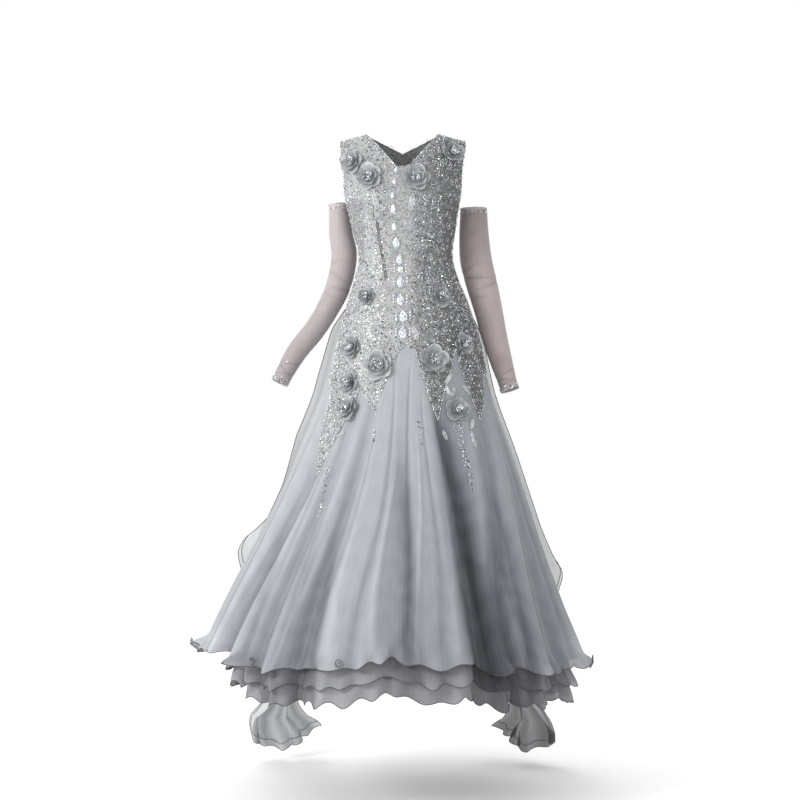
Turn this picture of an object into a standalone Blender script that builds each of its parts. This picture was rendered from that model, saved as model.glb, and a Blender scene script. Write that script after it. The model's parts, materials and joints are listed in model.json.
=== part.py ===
"""Ballroom dance dress with detached sleeves, as walls of cloth. Metres, +Z up, the front faces -Y.

The origin is midway between the shoulder seams, at the height where the shoulders carry the dress.
One surface runs from the underarm to the hem. Every panel of it is cut out between named columns,
and everything that lies on it is made from its points, moved out.
"""

import math

import bpy
from mathutils import Vector
from mathutils.bvhtree import BVHTree

# Walls and gaps
SEAM_GAP = 0.0003
MAX_SEAM_GAP = 0.0015
BODICE_WALL = 0.0018
ORGANZA_WALL = 0.0012
SLEEVE_WALL = 0.001
APPLIED_GAP = 0.0009
SEWN_UNDER_GAP = 0.0008

# A look at the cloth that lands this much deeper than one beside it went through a seam
SEAM_LOOK = 0.0015
SEAM_DEPTH = 0.005

# Heights
UNDERARM_Z = -0.144
SHOULDER_Z = 0.012
FOLD_START_Z = -0.520
HEM_Z = -1.225
HIP_Z = -0.500

# Shoulder line and neck
NECK_HALF_WIDTH = 0.086
SHOULDER_SLOPE = 0.27
V_ROW = 2
BACK_NECK_ROW = 3
V_ANGLE = 3.5

# Bust cups, on a general figure
CUP_DEPTH = 0.007
CUP_ANGLE = 33.0
CUP_SPREAD = 20.0
CUP_Z = -0.150
CUP_HEIGHT = 0.050

# Each row is one level section of the dress, without its folds:
# height, half width, front depth, back depth, middle in x, roundness
SECTIONS = [
    (-0.144, 0.137, 0.106, 0.095, -0.003, 0.87),
    (-0.200, 0.126, 0.098, 0.090, -0.001, 0.87),
    (-0.283, 0.112, 0.087, 0.082, 0.004, 0.87),
    (-0.340, 0.125, 0.094, 0.096, 0.006, 0.88),
    (-0.389, 0.143, 0.104, 0.112, 0.009, 0.90),
    (-0.490, 0.172, 0.124, 0.134, 0.012, 0.93),
    (-0.560, 0.187, 0.142, 0.152, 0.011, 0.96),
    (-0.624, 0.205, 0.164, 0.176, 0.009, 1.00),
    (-0.744, 0.254, 0.215, 0.235, 0.004, 1.00),
    (-0.864, 0.302, 0.265, 0.290, -0.004, 1.00),
    (-0.984, 0.353, 0.312, 0.345, -0.015, 1.00),
    (-1.104, 0.407, 0.358, 0.400, -0.025, 1.00),
    (-1.224, 0.460, 0.402, 0.450, -0.029, 1.00),
    (-1.360, 0.500, 0.436, 0.492, -0.031, 1.00),
]

# Each row is one level of the bodice above the underarm:
# rise from 0 at the underarm to 1 at the shoulder, half width, angle of the armhole edge
UPPER_LEVELS = [
    (0.00, 0.137, 90.0),
    (0.18, 0.146, 72.0),
    (0.355, 0.155, 64.5),
    (0.55, 0.163, 62.0),
    (0.74, 0.166, 62.5),
    (0.90, 0.166, 63.0),
    (1.00, 0.166, 63.0),
]

# Each row is one line down the dress where the lower edge of the bodice turns:
# angle at the hem, angle at the hip (0 is the front, + is the wearer's left), height of the bodice's edge,
# columns to the next line
LINES = [
    (-180.0, -180.0, -0.640, 6),
    (-158.0, -158.0, -0.520, 6),
    (-135.0, -135.0, -0.660, 4),
    (-112.0, -112.0, -0.530, 4),
    (-90.0, -90.0, -0.560, 4),
    (-74.0, -66.0, -0.600, 4),
    (-61.0, -45.0, -0.800, 6),
    (-44.0, -35.0, -0.590, 6),
    (-29.0, -22.0, -0.645, 4),
    (-19.0, -16.0, -0.585, 4),
    (-8.0, -7.0, -0.508, 2),
    (0.0, -2.0, -0.496, 2),
    (8.0, 4.0, -0.508, 4),
    (18.0, 10.5, -0.580, 4),
    (27.0, 18.0, -0.672, 4),
    (33.5, 36.0, -0.505, 4),
    (40.0, 54.0, -0.668, 4),
    (60.0, 70.0, -0.570, 6),
    (90.0, 90.0, -0.560, 4),
    (112.0, 112.0, -0.530, 4),
    (135.0, 135.0, -0.660, 6),
    (158.0, 158.0, -0.520, 6),
]

# Each row is one fold of the skirt that runs in: angle at the hem, depth at the hem, half width in degrees
FOLDS = [
    (-158.0, 0.034, 7.0),
    (-135.0, 0.046, 6.0),
    (-112.0, 0.040, 6.5),
    (-84.0, 0.014, 6.0),
    (-61.0, 0.042, 4.8),
    (-44.0, 0.034, 4.0),
    (-29.0, 0.044, 4.4),
    (-14.0, 0.008, 5.0),
    (0.0, 0.022, 7.0),
    (14.0, 0.008, 5.0),
    (27.0, 0.070, 5.0),
    (40.0, 0.038, 4.0),
    (60.0, 0.024, 6.0),
    (90.0, 0.012, 6.0),
    (112.0, 0.042, 6.5),
    (135.0, 0.046, 6.0),
    (158.0, 0.034, 7.0),
    (180.0, 0.040, 7.0),
]

# Height of the outer hem by angle
OUTER_HEM = [
    (-180.0, -1.272),
    (-135.0, -1.262),
    (-90.0, -1.224),
    (-72.0, -1.211),
    (-64.0, -1.206),
    (-57.0, -1.218),
    (-44.0, -1.234),
    (-29.0, -1.222),
    (-14.0, -1.219),
    (0.0, -1.192),
    (12.0, -1.218),
    (25.0, -1.204),
    (34.0, -1.244),
    (40.0, -1.226),
    (50.0, -1.244),
    (60.0, -1.236),
    (90.0, -1.264),
    (135.0, -1.268),
    (180.0, -1.272),
]

# Share of a gore's height at each row, with the share of the hem's curl there
GORE_ROWS = [(0.0, 0.0), (0.16, 0.0), (0.36, 0.0), (0.57, 0.0), (0.78, 0.0), (0.93, 0.15), (1.0, 1.0)]
BODICE_ROWS = [-0.144, -0.190, -0.236, -0.283, -0.335, -0.390]
HIP_ROW_Z = -0.440

# Hem waves: every wave spans this many degrees
OUTER_WAVE = 14.4
OUTER_WAVE_RISE = 0.006
OUTER_WAVE_OUT = 0.010

# Under layers: inward distance at hip and hem, height below the outer hem, wave
UNDER_INSIDE = 0.010
UNDER_DROP = 0.040
UNDER_WAVE = 12.0
UNDER_ROWS = [0.0, 0.09, 0.19, 0.34, 0.64, 0.90, 1.0]
UNDER_FOLDS = 0.92
UNDER_WAVE_RISE = 0.005
UNDER_WAVE_OUT = 0.008
# Below this height the under layers draw in from the outer skirt, by this much at the hem
UNDER_TUCK_Z = -0.900
UNDER_TUCK = [
    (-180.0, 0.014),
    (-120.0, 0.045),
    (-90.0, 0.066),
    (-62.0, 0.050),
    (-36.0, 0.010),
    (0.0, 0.004),
    (40.0, 0.006),
    (70.0, 0.024),
    (90.0, 0.034),
    (125.0, 0.026),
    (180.0, 0.014),
]
# The frill hangs from this row of the underskirt; its rows are a share of its height, how far it lies inside
# the underskirt and the share of its curl
FRILL_ROW = 5
FRILL_ROWS = [(0.0, 0.0020, 0.0), (0.35, 0.0080, 0.1), (0.75, 0.0110, 0.5), (1.0, 0.0110, 1.0)]
FRILL_DROP = 0.078
FRILL_WAVE = 10.0
FRILL_WAVE_RISE = 0.006
FRILL_WAVE_OUT = 0.014

# Floats: angle of the outer and inner edge at the top and the foot
FLOAT_TOP_Z = -0.385
FLOAT_TOP_ANGLES = (105.8, 168.6)
FLOAT_TOP_SLANT = 0.003
FLOAT_ROWS = [0.0, 0.05, 0.16, 0.30, 0.45, 0.60, 0.72, 0.82, 0.91, 1.0]
FLOAT_COLUMNS = 18
FLOAT_LIFT = 0.012
FLOAT_SPREAD = 0.020
FLOAT_WING_SHARE = 0.30
FLOAT_FLUTE = 0.020
FLOAT_FLUTES = 3.5
# A float narrows above its bell-shaped tail: height, reach and share
FLOAT_PINCH_Z = -1.370
FLOAT_PINCH_REACH = 0.085
FLOAT_PINCH = 0.38
# The two floats do not fall alike. Foot angles of the outer and inner edge, start of the flutes in radians,
# height of the foot across the float, how far the outer edge stands away down the float
FLOAT_LEFT = {
    "foot_angles": (119.0, 163.6),
    "start": 0.6,
    "foot": [(0.0, -0.975), (0.12, -1.110), (0.28, -1.340), (0.45, -1.520), (0.70, -1.545), (1.0, -1.500)],
    "wing": [(0.0, 0.0), (0.10, 0.016), (0.30, 0.026), (0.55, 0.028), (0.75, 0.010), (0.90, 0.012), (1.0, 0.048)],
}
FLOAT_RIGHT = {
    "foot_angles": (112.0, 151.7),
    "start": 0.9,
    "foot": [(0.0, -1.036), (0.12, -1.140), (0.28, -1.340), (0.45, -1.505), (0.70, -1.538), (1.0, -1.490)],
    "wing": [(0.0, 0.0), (0.85, 0.0), (1.0, 0.008)],
}
# Below this height a float falls straight
FLOAT_FALL_Z = -1.310

# Sleeve sections down the arm: middle x, y, z, half width, half depth
SLEEVE_LEFT = [
    (-0.158, 0.050, -0.150, 0.0240, 0.032),
    (-0.153, 0.048, -0.220, 0.0285, 0.033),
    (-0.145, 0.044, -0.276, 0.0310, 0.034),
    (-0.159, 0.036, -0.349, 0.0300, 0.033),
    (-0.187, 0.026, -0.409, 0.0270, 0.030),
    (-0.217, 0.018, -0.457, 0.0260, 0.028),
    (-0.255, 0.008, -0.505, 0.0250, 0.027),
    (-0.283, 0.000, -0.553, 0.0220, 0.025),
    (-0.298, -0.004, -0.582, 0.0205, 0.023),
]
SLEEVE_RIGHT = [
    (0.169, 0.050, -0.160, 0.0320, 0.034),
    (0.170, 0.048, -0.228, 0.0360, 0.035),
    (0.175, 0.044, -0.288, 0.0385, 0.036),
    (0.189, 0.036, -0.348, 0.0375, 0.034),
    (0.204, 0.028, -0.408, 0.0340, 0.031),
    (0.217, 0.020, -0.468, 0.0310, 0.029),
    (0.233, 0.012, -0.528, 0.0270, 0.027),
    (0.247, 0.004, -0.576, 0.0230, 0.025),
    (0.254, 0.000, -0.600, 0.0220, 0.024),
]
SLEEVE_SIDES = 12

# Flowers: x, z, turn of the petals in degrees, gap over the cloth, radius
FLOWERS = [
    (-0.122, -0.062, 10.0, 0.0018, 0.0240),
    (-0.082, -0.100, 40.0, 0.0018, 0.0250),
    (0.028, -0.102, 0.0, 0.0014, 0.0300),
    (0.115, -0.038, 25.0, 0.0009, 0.0235),
    (-0.087, -0.381, 15.0, 0.0009, 0.0215),
    (0.085, -0.383, 50.0, 0.0009, 0.0250),
    (-0.122, -0.501, 0.0, 0.0009, 0.0255),
    (-0.061, -0.543, 30.0, 0.0017, 0.0340),
    (-0.127, -0.585, 55.0, 0.0018, 0.0265),
    (-0.132, -0.646, 20.0, 0.0037, 0.0270),
    (0.068, -0.531, 12.0, 0.0018, 0.0320),
    (0.138, -0.494, 35.0, 0.0012, 0.0245),
    (0.124, -0.648, 5.0, 0.0014, 0.0280),
]
FLOWER_PETALS = 5
FLOWER_SIDES = 15
# Share of the radius, height over the cloth
FLOWER_RINGS = [(0.0, 0.009), (0.28, 0.014), (0.62, 0.010), (1.0, 0.0035)]
PETAL_CUP = 0.003

# Crystals: x, z, half width, half length
CRYSTALS = [
    (-0.019, -0.084, 0.0042, 0.0058),
    (-0.023, -0.111, 0.0045, 0.0065),
    (-0.027, -0.144, 0.0045, 0.0070),
    (-0.025, -0.178, 0.0050, 0.0075),
    (-0.023, -0.217, 0.0055, 0.0080),
    (-0.019, -0.256, 0.0060, 0.0078),
    (-0.011, -0.293, 0.0060, 0.0060),
    (-0.009, -0.313, 0.0070, 0.0075),
    (-0.009, -0.345, 0.0075, 0.0085),
    (-0.009, -0.385, 0.0080, 0.0090),
    (-0.002, -0.427, 0.0085, 0.0095),
    (-0.003, -0.464, 0.0080, 0.0088),
]
CRYSTAL_SIDES = 8
CRYSTAL_RINGS = [(0.0, 0.0042), (0.55, 0.0042), (1.0, 0.0016)]

# Corded leaves: x, z, turn from upright in degrees, half length
LEAVES = [
    (-0.066, -0.158, 12.0, 0.018),
    (0.018, -0.160, -10.0, 0.018),
    (0.026, -0.468, 20.0, 0.017),
    (0.104, -0.574, -35.0, 0.014),
    (0.102, -0.602, 20.0, 0.012),
    (0.158, -0.680, -30.0, 0.014),
    (-0.168, -0.690, 14.0, 0.018),
]
LEAF_WIDTH_SHARE = 0.34
LEAF_SIDES = 12
LEAF_RINGS = [(0.0, 0.0034), (0.5, 0.0028), (1.0, 0.0014)]

# Finishes: colour, roughness, metallic
FINISHES = {
    "bodice": ((0.36, 0.38, 0.41), 0.45, 0.0),
    "organza": ((0.42, 0.45, 0.51), 0.40, 0.0),
    "under": ((0.33, 0.35, 0.41), 0.45, 0.0),
    "float": ((0.70, 0.72, 0.76), 0.40, 0.0),
    "sleeve": ((0.42, 0.42, 0.48), 0.55, 0.0),
    "flower": ((0.26, 0.29, 0.33), 0.40, 0.0),
    "crystal": ((0.82, 0.86, 0.92), 0.08, 0.0),
    "cord": ((0.72, 0.74, 0.77), 0.35, 0.0),
}


def clear_scene():
    for item in list(bpy.data.objects):
        bpy.data.objects.remove(item, do_unlink=True)


def make_finish(slot):
    colour, roughness, metallic = FINISHES[slot]
    material = bpy.data.materials.new(slot)
    material.use_nodes = True
    shader = material.node_tree.nodes["Principled BSDF"]
    shader.inputs["Base Color"].default_value = (*colour, 1.0)
    shader.inputs["Roughness"].default_value = roughness
    shader.inputs["Metallic"].default_value = metallic
    return material


def between(low, high, share):
    return low + (high - low) * share


def ease(share):
    share = min(max(share, 0.0), 1.0)
    return share * share * (3.0 - 2.0 * share)


def along(table, at, column=1):
    """A value of a table whose first column rises or falls, on straight lines between its rows."""
    rows = table if table[0][0] < table[-1][0] else table[::-1]
    if at <= rows[0][0]:
        return rows[0][column]
    for lower, upper in zip(rows, rows[1:]):
        if at <= upper[0]:
            share = (at - lower[0]) / (upper[0] - lower[0])
            return between(lower[column], upper[column], share)
    return rows[-1][column]


def section(z, column):
    """One value of the sections at a height, on a smooth curve through them."""
    rows = SECTIONS
    if z >= rows[0][0]:
        return rows[0][column]
    last = len(rows) - 1
    if z <= rows[last][0]:
        return rows[last][column]
    here = next(i for i in range(last) if rows[i + 1][0] <= z)

    def slope(i):
        before = rows[max(i - 1, 0)]
        after = rows[min(i + 1, last)]
        return (after[column] - before[column]) / (after[0] - before[0])

    upper, lower = rows[here], rows[here + 1]
    span = lower[0] - upper[0]
    t = (z - upper[0]) / span
    a = 2 * t**3 - 3 * t**2 + 1
    b = t**3 - 2 * t**2 + t
    c = 3 * t**2 - 2 * t**3
    d = t**3 - t**2
    return a * upper[column] + b * span * slope(here) + c * lower[column] + d * span * slope(here + 1)


def signed_power(value, power):
    return math.copysign(abs(value) ** power, value)


def turn_from(angle, other):
    """The smallest turn between two angles, in degrees."""
    return (angle - other + 180.0) % 360.0 - 180.0


def cup(angle, z):
    """How far the bust stands out of the plain section."""
    side = (abs(angle) - CUP_ANGLE) / CUP_SPREAD
    rise = (z - CUP_Z) / CUP_HEIGHT
    return CUP_DEPTH * math.exp(-side * side - rise * rise)


def fold(hem_angle, z):
    """How far the folds bring the skirt in, growing from the hip to the hem."""
    grown = max(0.0, (FOLD_START_Z - z) / (FOLD_START_Z - HEM_Z)) ** 1.15
    depth = 0.0
    for angle, deep, half_width in FOLDS:
        off = turn_from(hem_angle, angle) / half_width
        depth += deep * math.exp(-off * off)
    return depth * grown


def envelope(angle, z, out=0.0):
    """A point of the dress without folds, at an angle round it."""
    turn = math.radians(angle)
    power = section(z, 5)
    depth = section(z, 2) if math.cos(turn) > 0 else section(z, 3)
    x = section(z, 4) + (section(z, 1) + out) * signed_power(math.sin(turn), power)
    y = -(depth + out + cup(angle, z)) * signed_power(math.cos(turn), power)
    return Vector((x, y, z))


def surface(hem_angle, hip_angle, z, out=0.0, folds=1.0):
    """A point of the dress from the underarm to the hem."""
    angle = between(hip_angle, hem_angle, ease((HIP_Z - z) / (HIP_Z - HEM_Z)))
    return envelope(angle, z, out - folds * fold(hem_angle, z))


def make_columns():
    """Every column round the dress: angle at the hem, angle at the hip, height of the bodice's lower edge."""
    columns = []
    for row, line in enumerate(LINES):
        following = LINES[row + 1] if row + 1 < len(LINES) else (180.0, 180.0, LINES[0][2], 0)
        for step in range(line[3]):
            share = step / line[3]
            columns.append(tuple(between(line[i], following[i], share) for i in range(3)))
    return columns


COLUMNS = make_columns()


def column_at(hem_angle):
    """The number of the column at a line's angle; 180 is the one past the last."""
    if hem_angle >= 180.0:
        return len(COLUMNS)
    return min(range(len(COLUMNS)), key=lambda i: abs(COLUMNS[i][0] - hem_angle))


def column(number):
    """A column's angles, turned on past the back so that they keep rising."""
    hem, hip, edge = COLUMNS[number % len(COLUMNS)]
    turns = 360.0 * (number // len(COLUMNS))
    return hem + turns, hip + turns, edge


def edge_gap(number):
    """The drop that leaves the seam gap square to a slanting edge."""
    steepest = 0.0
    for other in (number - 1, number + 1):
        apart = math.radians(abs(column(other)[1] - column(number)[1])) * section(HIP_Z, 1)
        steepest = max(steepest, abs(column(other)[2] - column(number)[2]) / apart)
    return min(SEAM_GAP * math.hypot(1.0, steepest), MAX_SEAM_GAP)


def normal_of(point_at, a, b, step_a, step_b):
    """The outward direction of a surface given by two numbers."""
    across = point_at(a + step_a, b) - point_at(a - step_a, b)
    down = point_at(a, b - step_b) - point_at(a, b + step_b)
    return down.cross(across).normalized()


def make_wall(name, slot, points, faces, wall):
    """A wall of cloth. Points hold an outer place and its direction out; faces name them anticlockwise."""
    keys = list(points)
    number = {key: i for i, key in enumerate(keys)}
    count = len(keys)
    outer = [points[key][0] for key in keys]
    inner = [points[key][0] - points[key][1] * wall for key in keys]
    used = {}
    sheets = []
    for face in faces:
        loop = [number[key] for key in face]
        sheets.append(loop)
        # The inner face starts at the same corner, so that both are cut along the same diagonal
        sheets.append([loop[0] + count] + [i + count for i in loop[:0:-1]])
        for start, end in zip(loop, loop[1:] + loop[:1]):
            used[(start, end)] = used.get((start, end), 0) + 1
    for start, end in used:
        if (end, start) not in used:
            sheets.append([end, start, start + count, end + count])
    mesh = bpy.data.meshes.new(name)
    mesh.from_pydata(outer + inner, [], sheets)
    mesh.materials.append(make_finish(slot))
    mesh.shade_smooth()
    thing = bpy.data.objects.new(name, mesh)
    bpy.context.scene.collection.objects.link(thing)
    return thing


def grid_faces(columns, rows):
    """Faces of a grid whose rows run down and whose columns run towards the wearer's left."""
    faces = []
    for i, j in zip(columns, columns[1:]):
        for upper, lower in zip(rows, rows[1:]):
            faces.append([(i, upper), (i, lower), (j, lower), (j, upper)])
    return faces


def ring_faces(count, rows):
    """Faces of a tube of columns that closes on itself."""
    faces = []
    for i in range(count):
        j = (i + 1) % count
        faces += [[(i, row), (i, row + 1), (j, row + 1), (j, row)] for row in range(rows - 1)]
    return faces


def seam_shift(point_at, a, b, side):
    """Half of the seam gap, along the cloth and away from the seam."""
    across = point_at(a + 0.05, b) - point_at(a - 0.05, b)
    return across.normalized() * side * SEAM_GAP / 2


def tube_point(number, z, side=0):
    """An outer point of the dress on a column, with its direction out. A seam's side moves it off the seam."""
    hem, hip, _ = column(number)

    def point_at(turn, height):
        return surface(hem + turn, hip + turn, height)

    place = point_at(0.0, z)
    direction = normal_of(point_at, 0.0, z, 0.2, 0.002)
    if side:
        place = place + seam_shift(point_at, 0.0, z, side)
    return place, direction


def hem_curl(hem_angle, wave, rise, out):
    """How far a hem's wave moves it up and out."""
    phase = math.cos(math.radians(hem_angle * 360.0 / wave))
    return rise * phase, out * (0.5 - 0.5 * phase)


def make_gore(name, first_angle, last_angle):
    """One flared organza panel between two seams."""
    first, last = column_at(first_angle), column_at(last_angle)
    numbers = list(range(first, last + 1))
    points = {}
    for number in numbers:
        hem, hip, edge = column(number)
        side = 1 if number == first else -1 if number == last else 0
        top = edge - edge_gap(number)
        foot = along(OUTER_HEM, turn_from(hem, 0.0))
        rise, out = hem_curl(hem, OUTER_WAVE, OUTER_WAVE_RISE, OUTER_WAVE_OUT)
        for row, (share, curl) in enumerate(GORE_ROWS):
            place, direction = tube_point(number, between(top, foot, share), side)
            flat = Vector((direction.x, direction.y, 0.0)).normalized()
            place = place + flat * out * curl + Vector((0.0, 0.0, rise * curl))
            points[(number, row)] = (place, direction)
    faces = grid_faces(numbers, range(len(GORE_ROWS)))
    return make_wall(name, "organza", points, faces, ORGANZA_WALL)


def lower_bodice(first, last):
    """Points and faces of the bodice from the underarm to its pointed edge."""
    points = {}
    faces = []
    coarse = list(range(first, last + 1, 2))

    def side_of(number):
        return 1 if number == first else -1 if number == last else 0

    for number in coarse:
        for row, z in enumerate(BODICE_ROWS):
            points[(number, row)] = tube_point(number, z, side_of(number))
    faces += grid_faces(coarse, range(len(BODICE_ROWS)))
    low = len(BODICE_ROWS) - 1
    for number in range(first, last + 1):
        edge = column(number)[2]
        for row, z in enumerate((HIP_ROW_Z, between(HIP_ROW_Z, edge, 0.5), edge), low + 1):
            points[(number, row)] = tube_point(number, z, side_of(number))
    for a, c in zip(coarse, coarse[1:]):
        b = a + 1
        faces.append([(a, low), (a, low + 1), (b, low + 1)])
        faces.append([(a, low), (b, low + 1), (c, low)])
        faces.append([(c, low), (b, low + 1), (c, low + 1)])
    faces += grid_faces(list(range(first, last + 1)), [low + 1, low + 2, low + 3])
    return points, faces


def upper_level(rise, column_number):
    return along(UPPER_LEVELS, rise, column_number)


def shoulder_height(x):
    return SHOULDER_Z - SHOULDER_SLOPE * max(0.0, abs(x) - NECK_HALF_WIDTH)


def neck_angle(rise, neck_rise, centre_angle):
    """The angle of the neck's edge, from the middle, at a level of the bodice."""
    half_width = upper_level(rise, 1)
    share = (math.sin(math.radians(90 * rise)) - math.sin(math.radians(90 * neck_rise))) / (
        1.0 - math.sin(math.radians(90 * neck_rise))
    )
    start = half_width * abs(math.sin(math.radians(centre_angle))) ** section(UNDERARM_Z, 5)
    x = between(start, NECK_HALF_WIDTH, share)
    return math.degrees(math.asin((x / half_width) ** (1 / section(UNDERARM_Z, 5))))


def upper_point(angle, rise, back):
    """A point of the bodice above the underarm; the angle is from the front's or the back's middle."""
    power = section(UNDERARM_Z, 5)
    turn = math.radians(angle)
    lift = math.radians(90.0 * rise)
    across = upper_level(rise, 1) * signed_power(math.sin(turn), power)
    height = between(UNDERARM_Z, shoulder_height(across), math.sin(lift))
    if back:
        deep = section(UNDERARM_Z, 3)
    else:
        deep = -section(UNDERARM_Z, 2) - cup(angle, height) / max(math.cos(lift), 0.3)
    y = deep * abs(math.cos(turn)) ** power * math.cos(lift)
    return Vector((section(UNDERARM_Z, 4) + across, y, height))


def upper_angle(hip_angle, rise, back, half):
    """The angle of a column at a level; half is -1 or 1, the side of the middle that it belongs to."""
    middle = 0.0 if back else LINES[11][1]
    if back:
        neck_rise, start = UPPER_LEVELS[BACK_NECK_ROW][0], 0.5
        angle = turn_from(180.0, hip_angle) if half < 0 else 180.0 - hip_angle
        angle = abs(angle)
    else:
        neck_rise, start = UPPER_LEVELS[V_ROW][0], V_ANGLE
        angle = abs(hip_angle - middle)
    full = 90.0 - (0.0 if back else half * middle)
    share = min(angle / full, 1.0)
    armhole = half * upper_level(rise, 2)
    if rise <= neck_rise:
        inner = between(middle, -0.0 if back else -V_ANGLE, rise / neck_rise)
    else:
        opened = neck_angle(rise, neck_rise, start)
        inner = half * opened
    return between(inner, armhole, share)


def upper_bodice(points, faces, first, last, back, seam_first, seam_last):
    """Adds the part above the underarm to a panel, with the neck left open."""
    numbers = list(range(first, last + 1, 2))
    middle = len(COLUMNS) if back else column_at(LINES[11][0])
    neck_row = BACK_NECK_ROW if back else V_ROW

    def sides(number):
        if back:
            return [-1] if first >= len(COLUMNS) else [1]
        if number == middle:
            return [-1, 1]
        return [-1] if number < middle else [1]

    def key(number, row, half):
        if row == 0:
            return (number, 0)
        if number == middle and row > neck_row and not back:
            return (number, -row, half)
        return (number, -row)

    for number in numbers:
        hip = column(number)[1]
        hip = hip - 360.0 if hip > 180.0 else hip
        for half in sides(number):
            for row in range(1, len(UPPER_LEVELS)):
                rise = UPPER_LEVELS[row][0]
                angle = upper_angle(hip, rise, back, half)

                def point_at(turn, level):
                    return upper_point(turn, level, back)

                place = point_at(angle, rise)
                low, high = max(rise - 0.02, 0.0), min(rise + 0.02, 1.0)
                up = point_at(angle, high) - point_at(angle, low)
                across = point_at(angle + 0.6, rise) - point_at(angle - 0.6, rise)
                direction = across.cross(up).normalized()
                if direction.dot(Vector((place.x, place.y, 0.1 * rise))) < 0.0:
                    direction = -direction
                if rise == 1.0:
                    direction = Vector((0.0, 0.0, 1.0))
                    place.y += SEAM_GAP / 2 if back else -SEAM_GAP / 2
                side = seam_first if number == first else seam_last if number == last else 0
                if side:
                    place = place + across.normalized() * math.copysign(SEAM_GAP / 2, side) * (-1 if back else 1)
                points[key(number, row, half)] = (place, direction)
    for a, b in zip(numbers, numbers[1:]):
        half = sides(b)[0] if back or b <= middle else 1
        for row in range(len(UPPER_LEVELS) - 1):
            faces.append([key(a, row + 1, half), key(a, row, half), key(b, row, half), key(b, row + 1, half)])
    return points, faces


def make_bodice_panel(name, first_angle, last_angle, back):
    first, last = column_at(first_angle), column_at(last_angle)
    if back and first_angle <= -180.0:
        first, last = first + len(COLUMNS), last + len(COLUMNS)
    points, faces = lower_bodice(first, last)
    side_seams = (column_at(-90.0), column_at(90.0), column_at(-90.0) + len(COLUMNS))
    seam_first = 0 if first in side_seams else 1
    seam_last = 0 if last in side_seams else -1
    upper_bodice(points, faces, first, last, back, seam_first, seam_last)
    return make_wall(name, "bodice", points, faces, BODICE_WALL)


def under_tuck(hem_angle, z):
    """How far the under layers draw in from the outer skirt."""
    share = max(0.0, (UNDER_TUCK_Z - z) / (UNDER_TUCK_Z - HEM_Z))
    return along(UNDER_TUCK, turn_from(hem_angle, 0.0)) * share**1.5


def make_underskirt():
    """The organza layer under the gores, hung from the hip inside the bodice."""
    points = {}
    count = len(COLUMNS)
    for number in range(count):
        hem, hip, _ = column(number)
        foot = along(OUTER_HEM, turn_from(hem, 0.0)) - UNDER_DROP
        rise, out = hem_curl(hem, UNDER_WAVE, UNDER_WAVE_RISE, UNDER_WAVE_OUT)
        for row, share in enumerate(UNDER_ROWS):
            z = between(HIP_ROW_Z, foot, share)
            inside = between(BODICE_WALL + SEWN_UNDER_GAP, UNDER_INSIDE, ease(share / 0.12))

            def point_at(turn, height):
                out = -inside - under_tuck(hem + turn, height)
                return surface(hem + turn, hip + turn, height, out, UNDER_FOLDS)

            place = point_at(0.0, z)
            direction = normal_of(point_at, 0.0, z, 0.2, 0.002)
            curl = 1.0 if row == len(UNDER_ROWS) - 1 else 0.0
            flat = Vector((direction.x, direction.y, 0.0)).normalized()
            place = place + flat * out * curl + Vector((0.0, 0.0, rise * curl))
            points[(number, row)] = (place, direction)
    return make_wall("underskirt", "under", points, ring_faces(count, len(UNDER_ROWS)), ORGANZA_WALL)


def make_frill():
    """The waved flounce sewn inside the foot of the underskirt, hung from one of its rows."""
    points = {}
    count = len(COLUMNS)
    for number in range(count):
        hem, hip, _ = column(number)
        foot = along(OUTER_HEM, turn_from(hem, 0.0))
        top = between(HIP_ROW_Z, foot - UNDER_DROP, UNDER_ROWS[FRILL_ROW])
        rise, out = hem_curl(hem, FRILL_WAVE, FRILL_WAVE_RISE, FRILL_WAVE_OUT)
        for row, (share, inside, curl) in enumerate(FRILL_ROWS):
            z = between(top, foot - FRILL_DROP, share)

            def point_at(turn, height):
                out = -UNDER_INSIDE - under_tuck(hem + turn, height)
                return surface(hem + turn, hip + turn, height, out, UNDER_FOLDS)

            direction = normal_of(point_at, 0.0, z, 0.2, 0.002)
            flat = Vector((direction.x, direction.y, 0.0)).normalized()
            place = point_at(0.0, z) - direction * inside
            place = place + flat * out * curl + Vector((0.0, 0.0, rise * curl))
            points[(number, row)] = (place, direction)
    return make_wall("underskirt_frill", "under", points, ring_faces(count, len(FRILL_ROWS)), ORGANZA_WALL)


def float_point(across, down, side):
    """A point of a float; across runs from its outer edge to its inner edge."""
    shape = FLOAT_LEFT if side < 0 else FLOAT_RIGHT
    top = between(*FLOAT_TOP_ANGLES, across)
    foot = between(*shape["foot_angles"], across)
    z = between(FLOAT_TOP_Z - FLOAT_TOP_SLANT * across, along(shape["foot"], across), down)
    middle = sum(shape["foot_angles"]) / 2
    pinch = FLOAT_PINCH * math.exp(-(((z - FLOAT_PINCH_Z) / FLOAT_PINCH_REACH) ** 2))
    angle = between(between(top, foot, down**0.8), middle, pinch)
    out = ORGANZA_WALL + SEWN_UNDER_GAP
    out += FLOAT_LIFT * ease(down / 0.14) + FLOAT_SPREAD * down
    wing = max(0.0, 1.0 - across / FLOAT_WING_SHARE)
    out += along(shape["wing"], down) * wing * wing
    out += FLOAT_FLUTE * down * down * math.sin(2 * math.pi * FLOAT_FLUTES * across + shape["start"])
    place = envelope(angle, max(z, FLOAT_FALL_Z), out)
    place.z = z
    if side < 0:
        middle = section(max(z, FLOAT_FALL_Z), 4)
        place.x = 2 * middle - place.x
    return place


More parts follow.
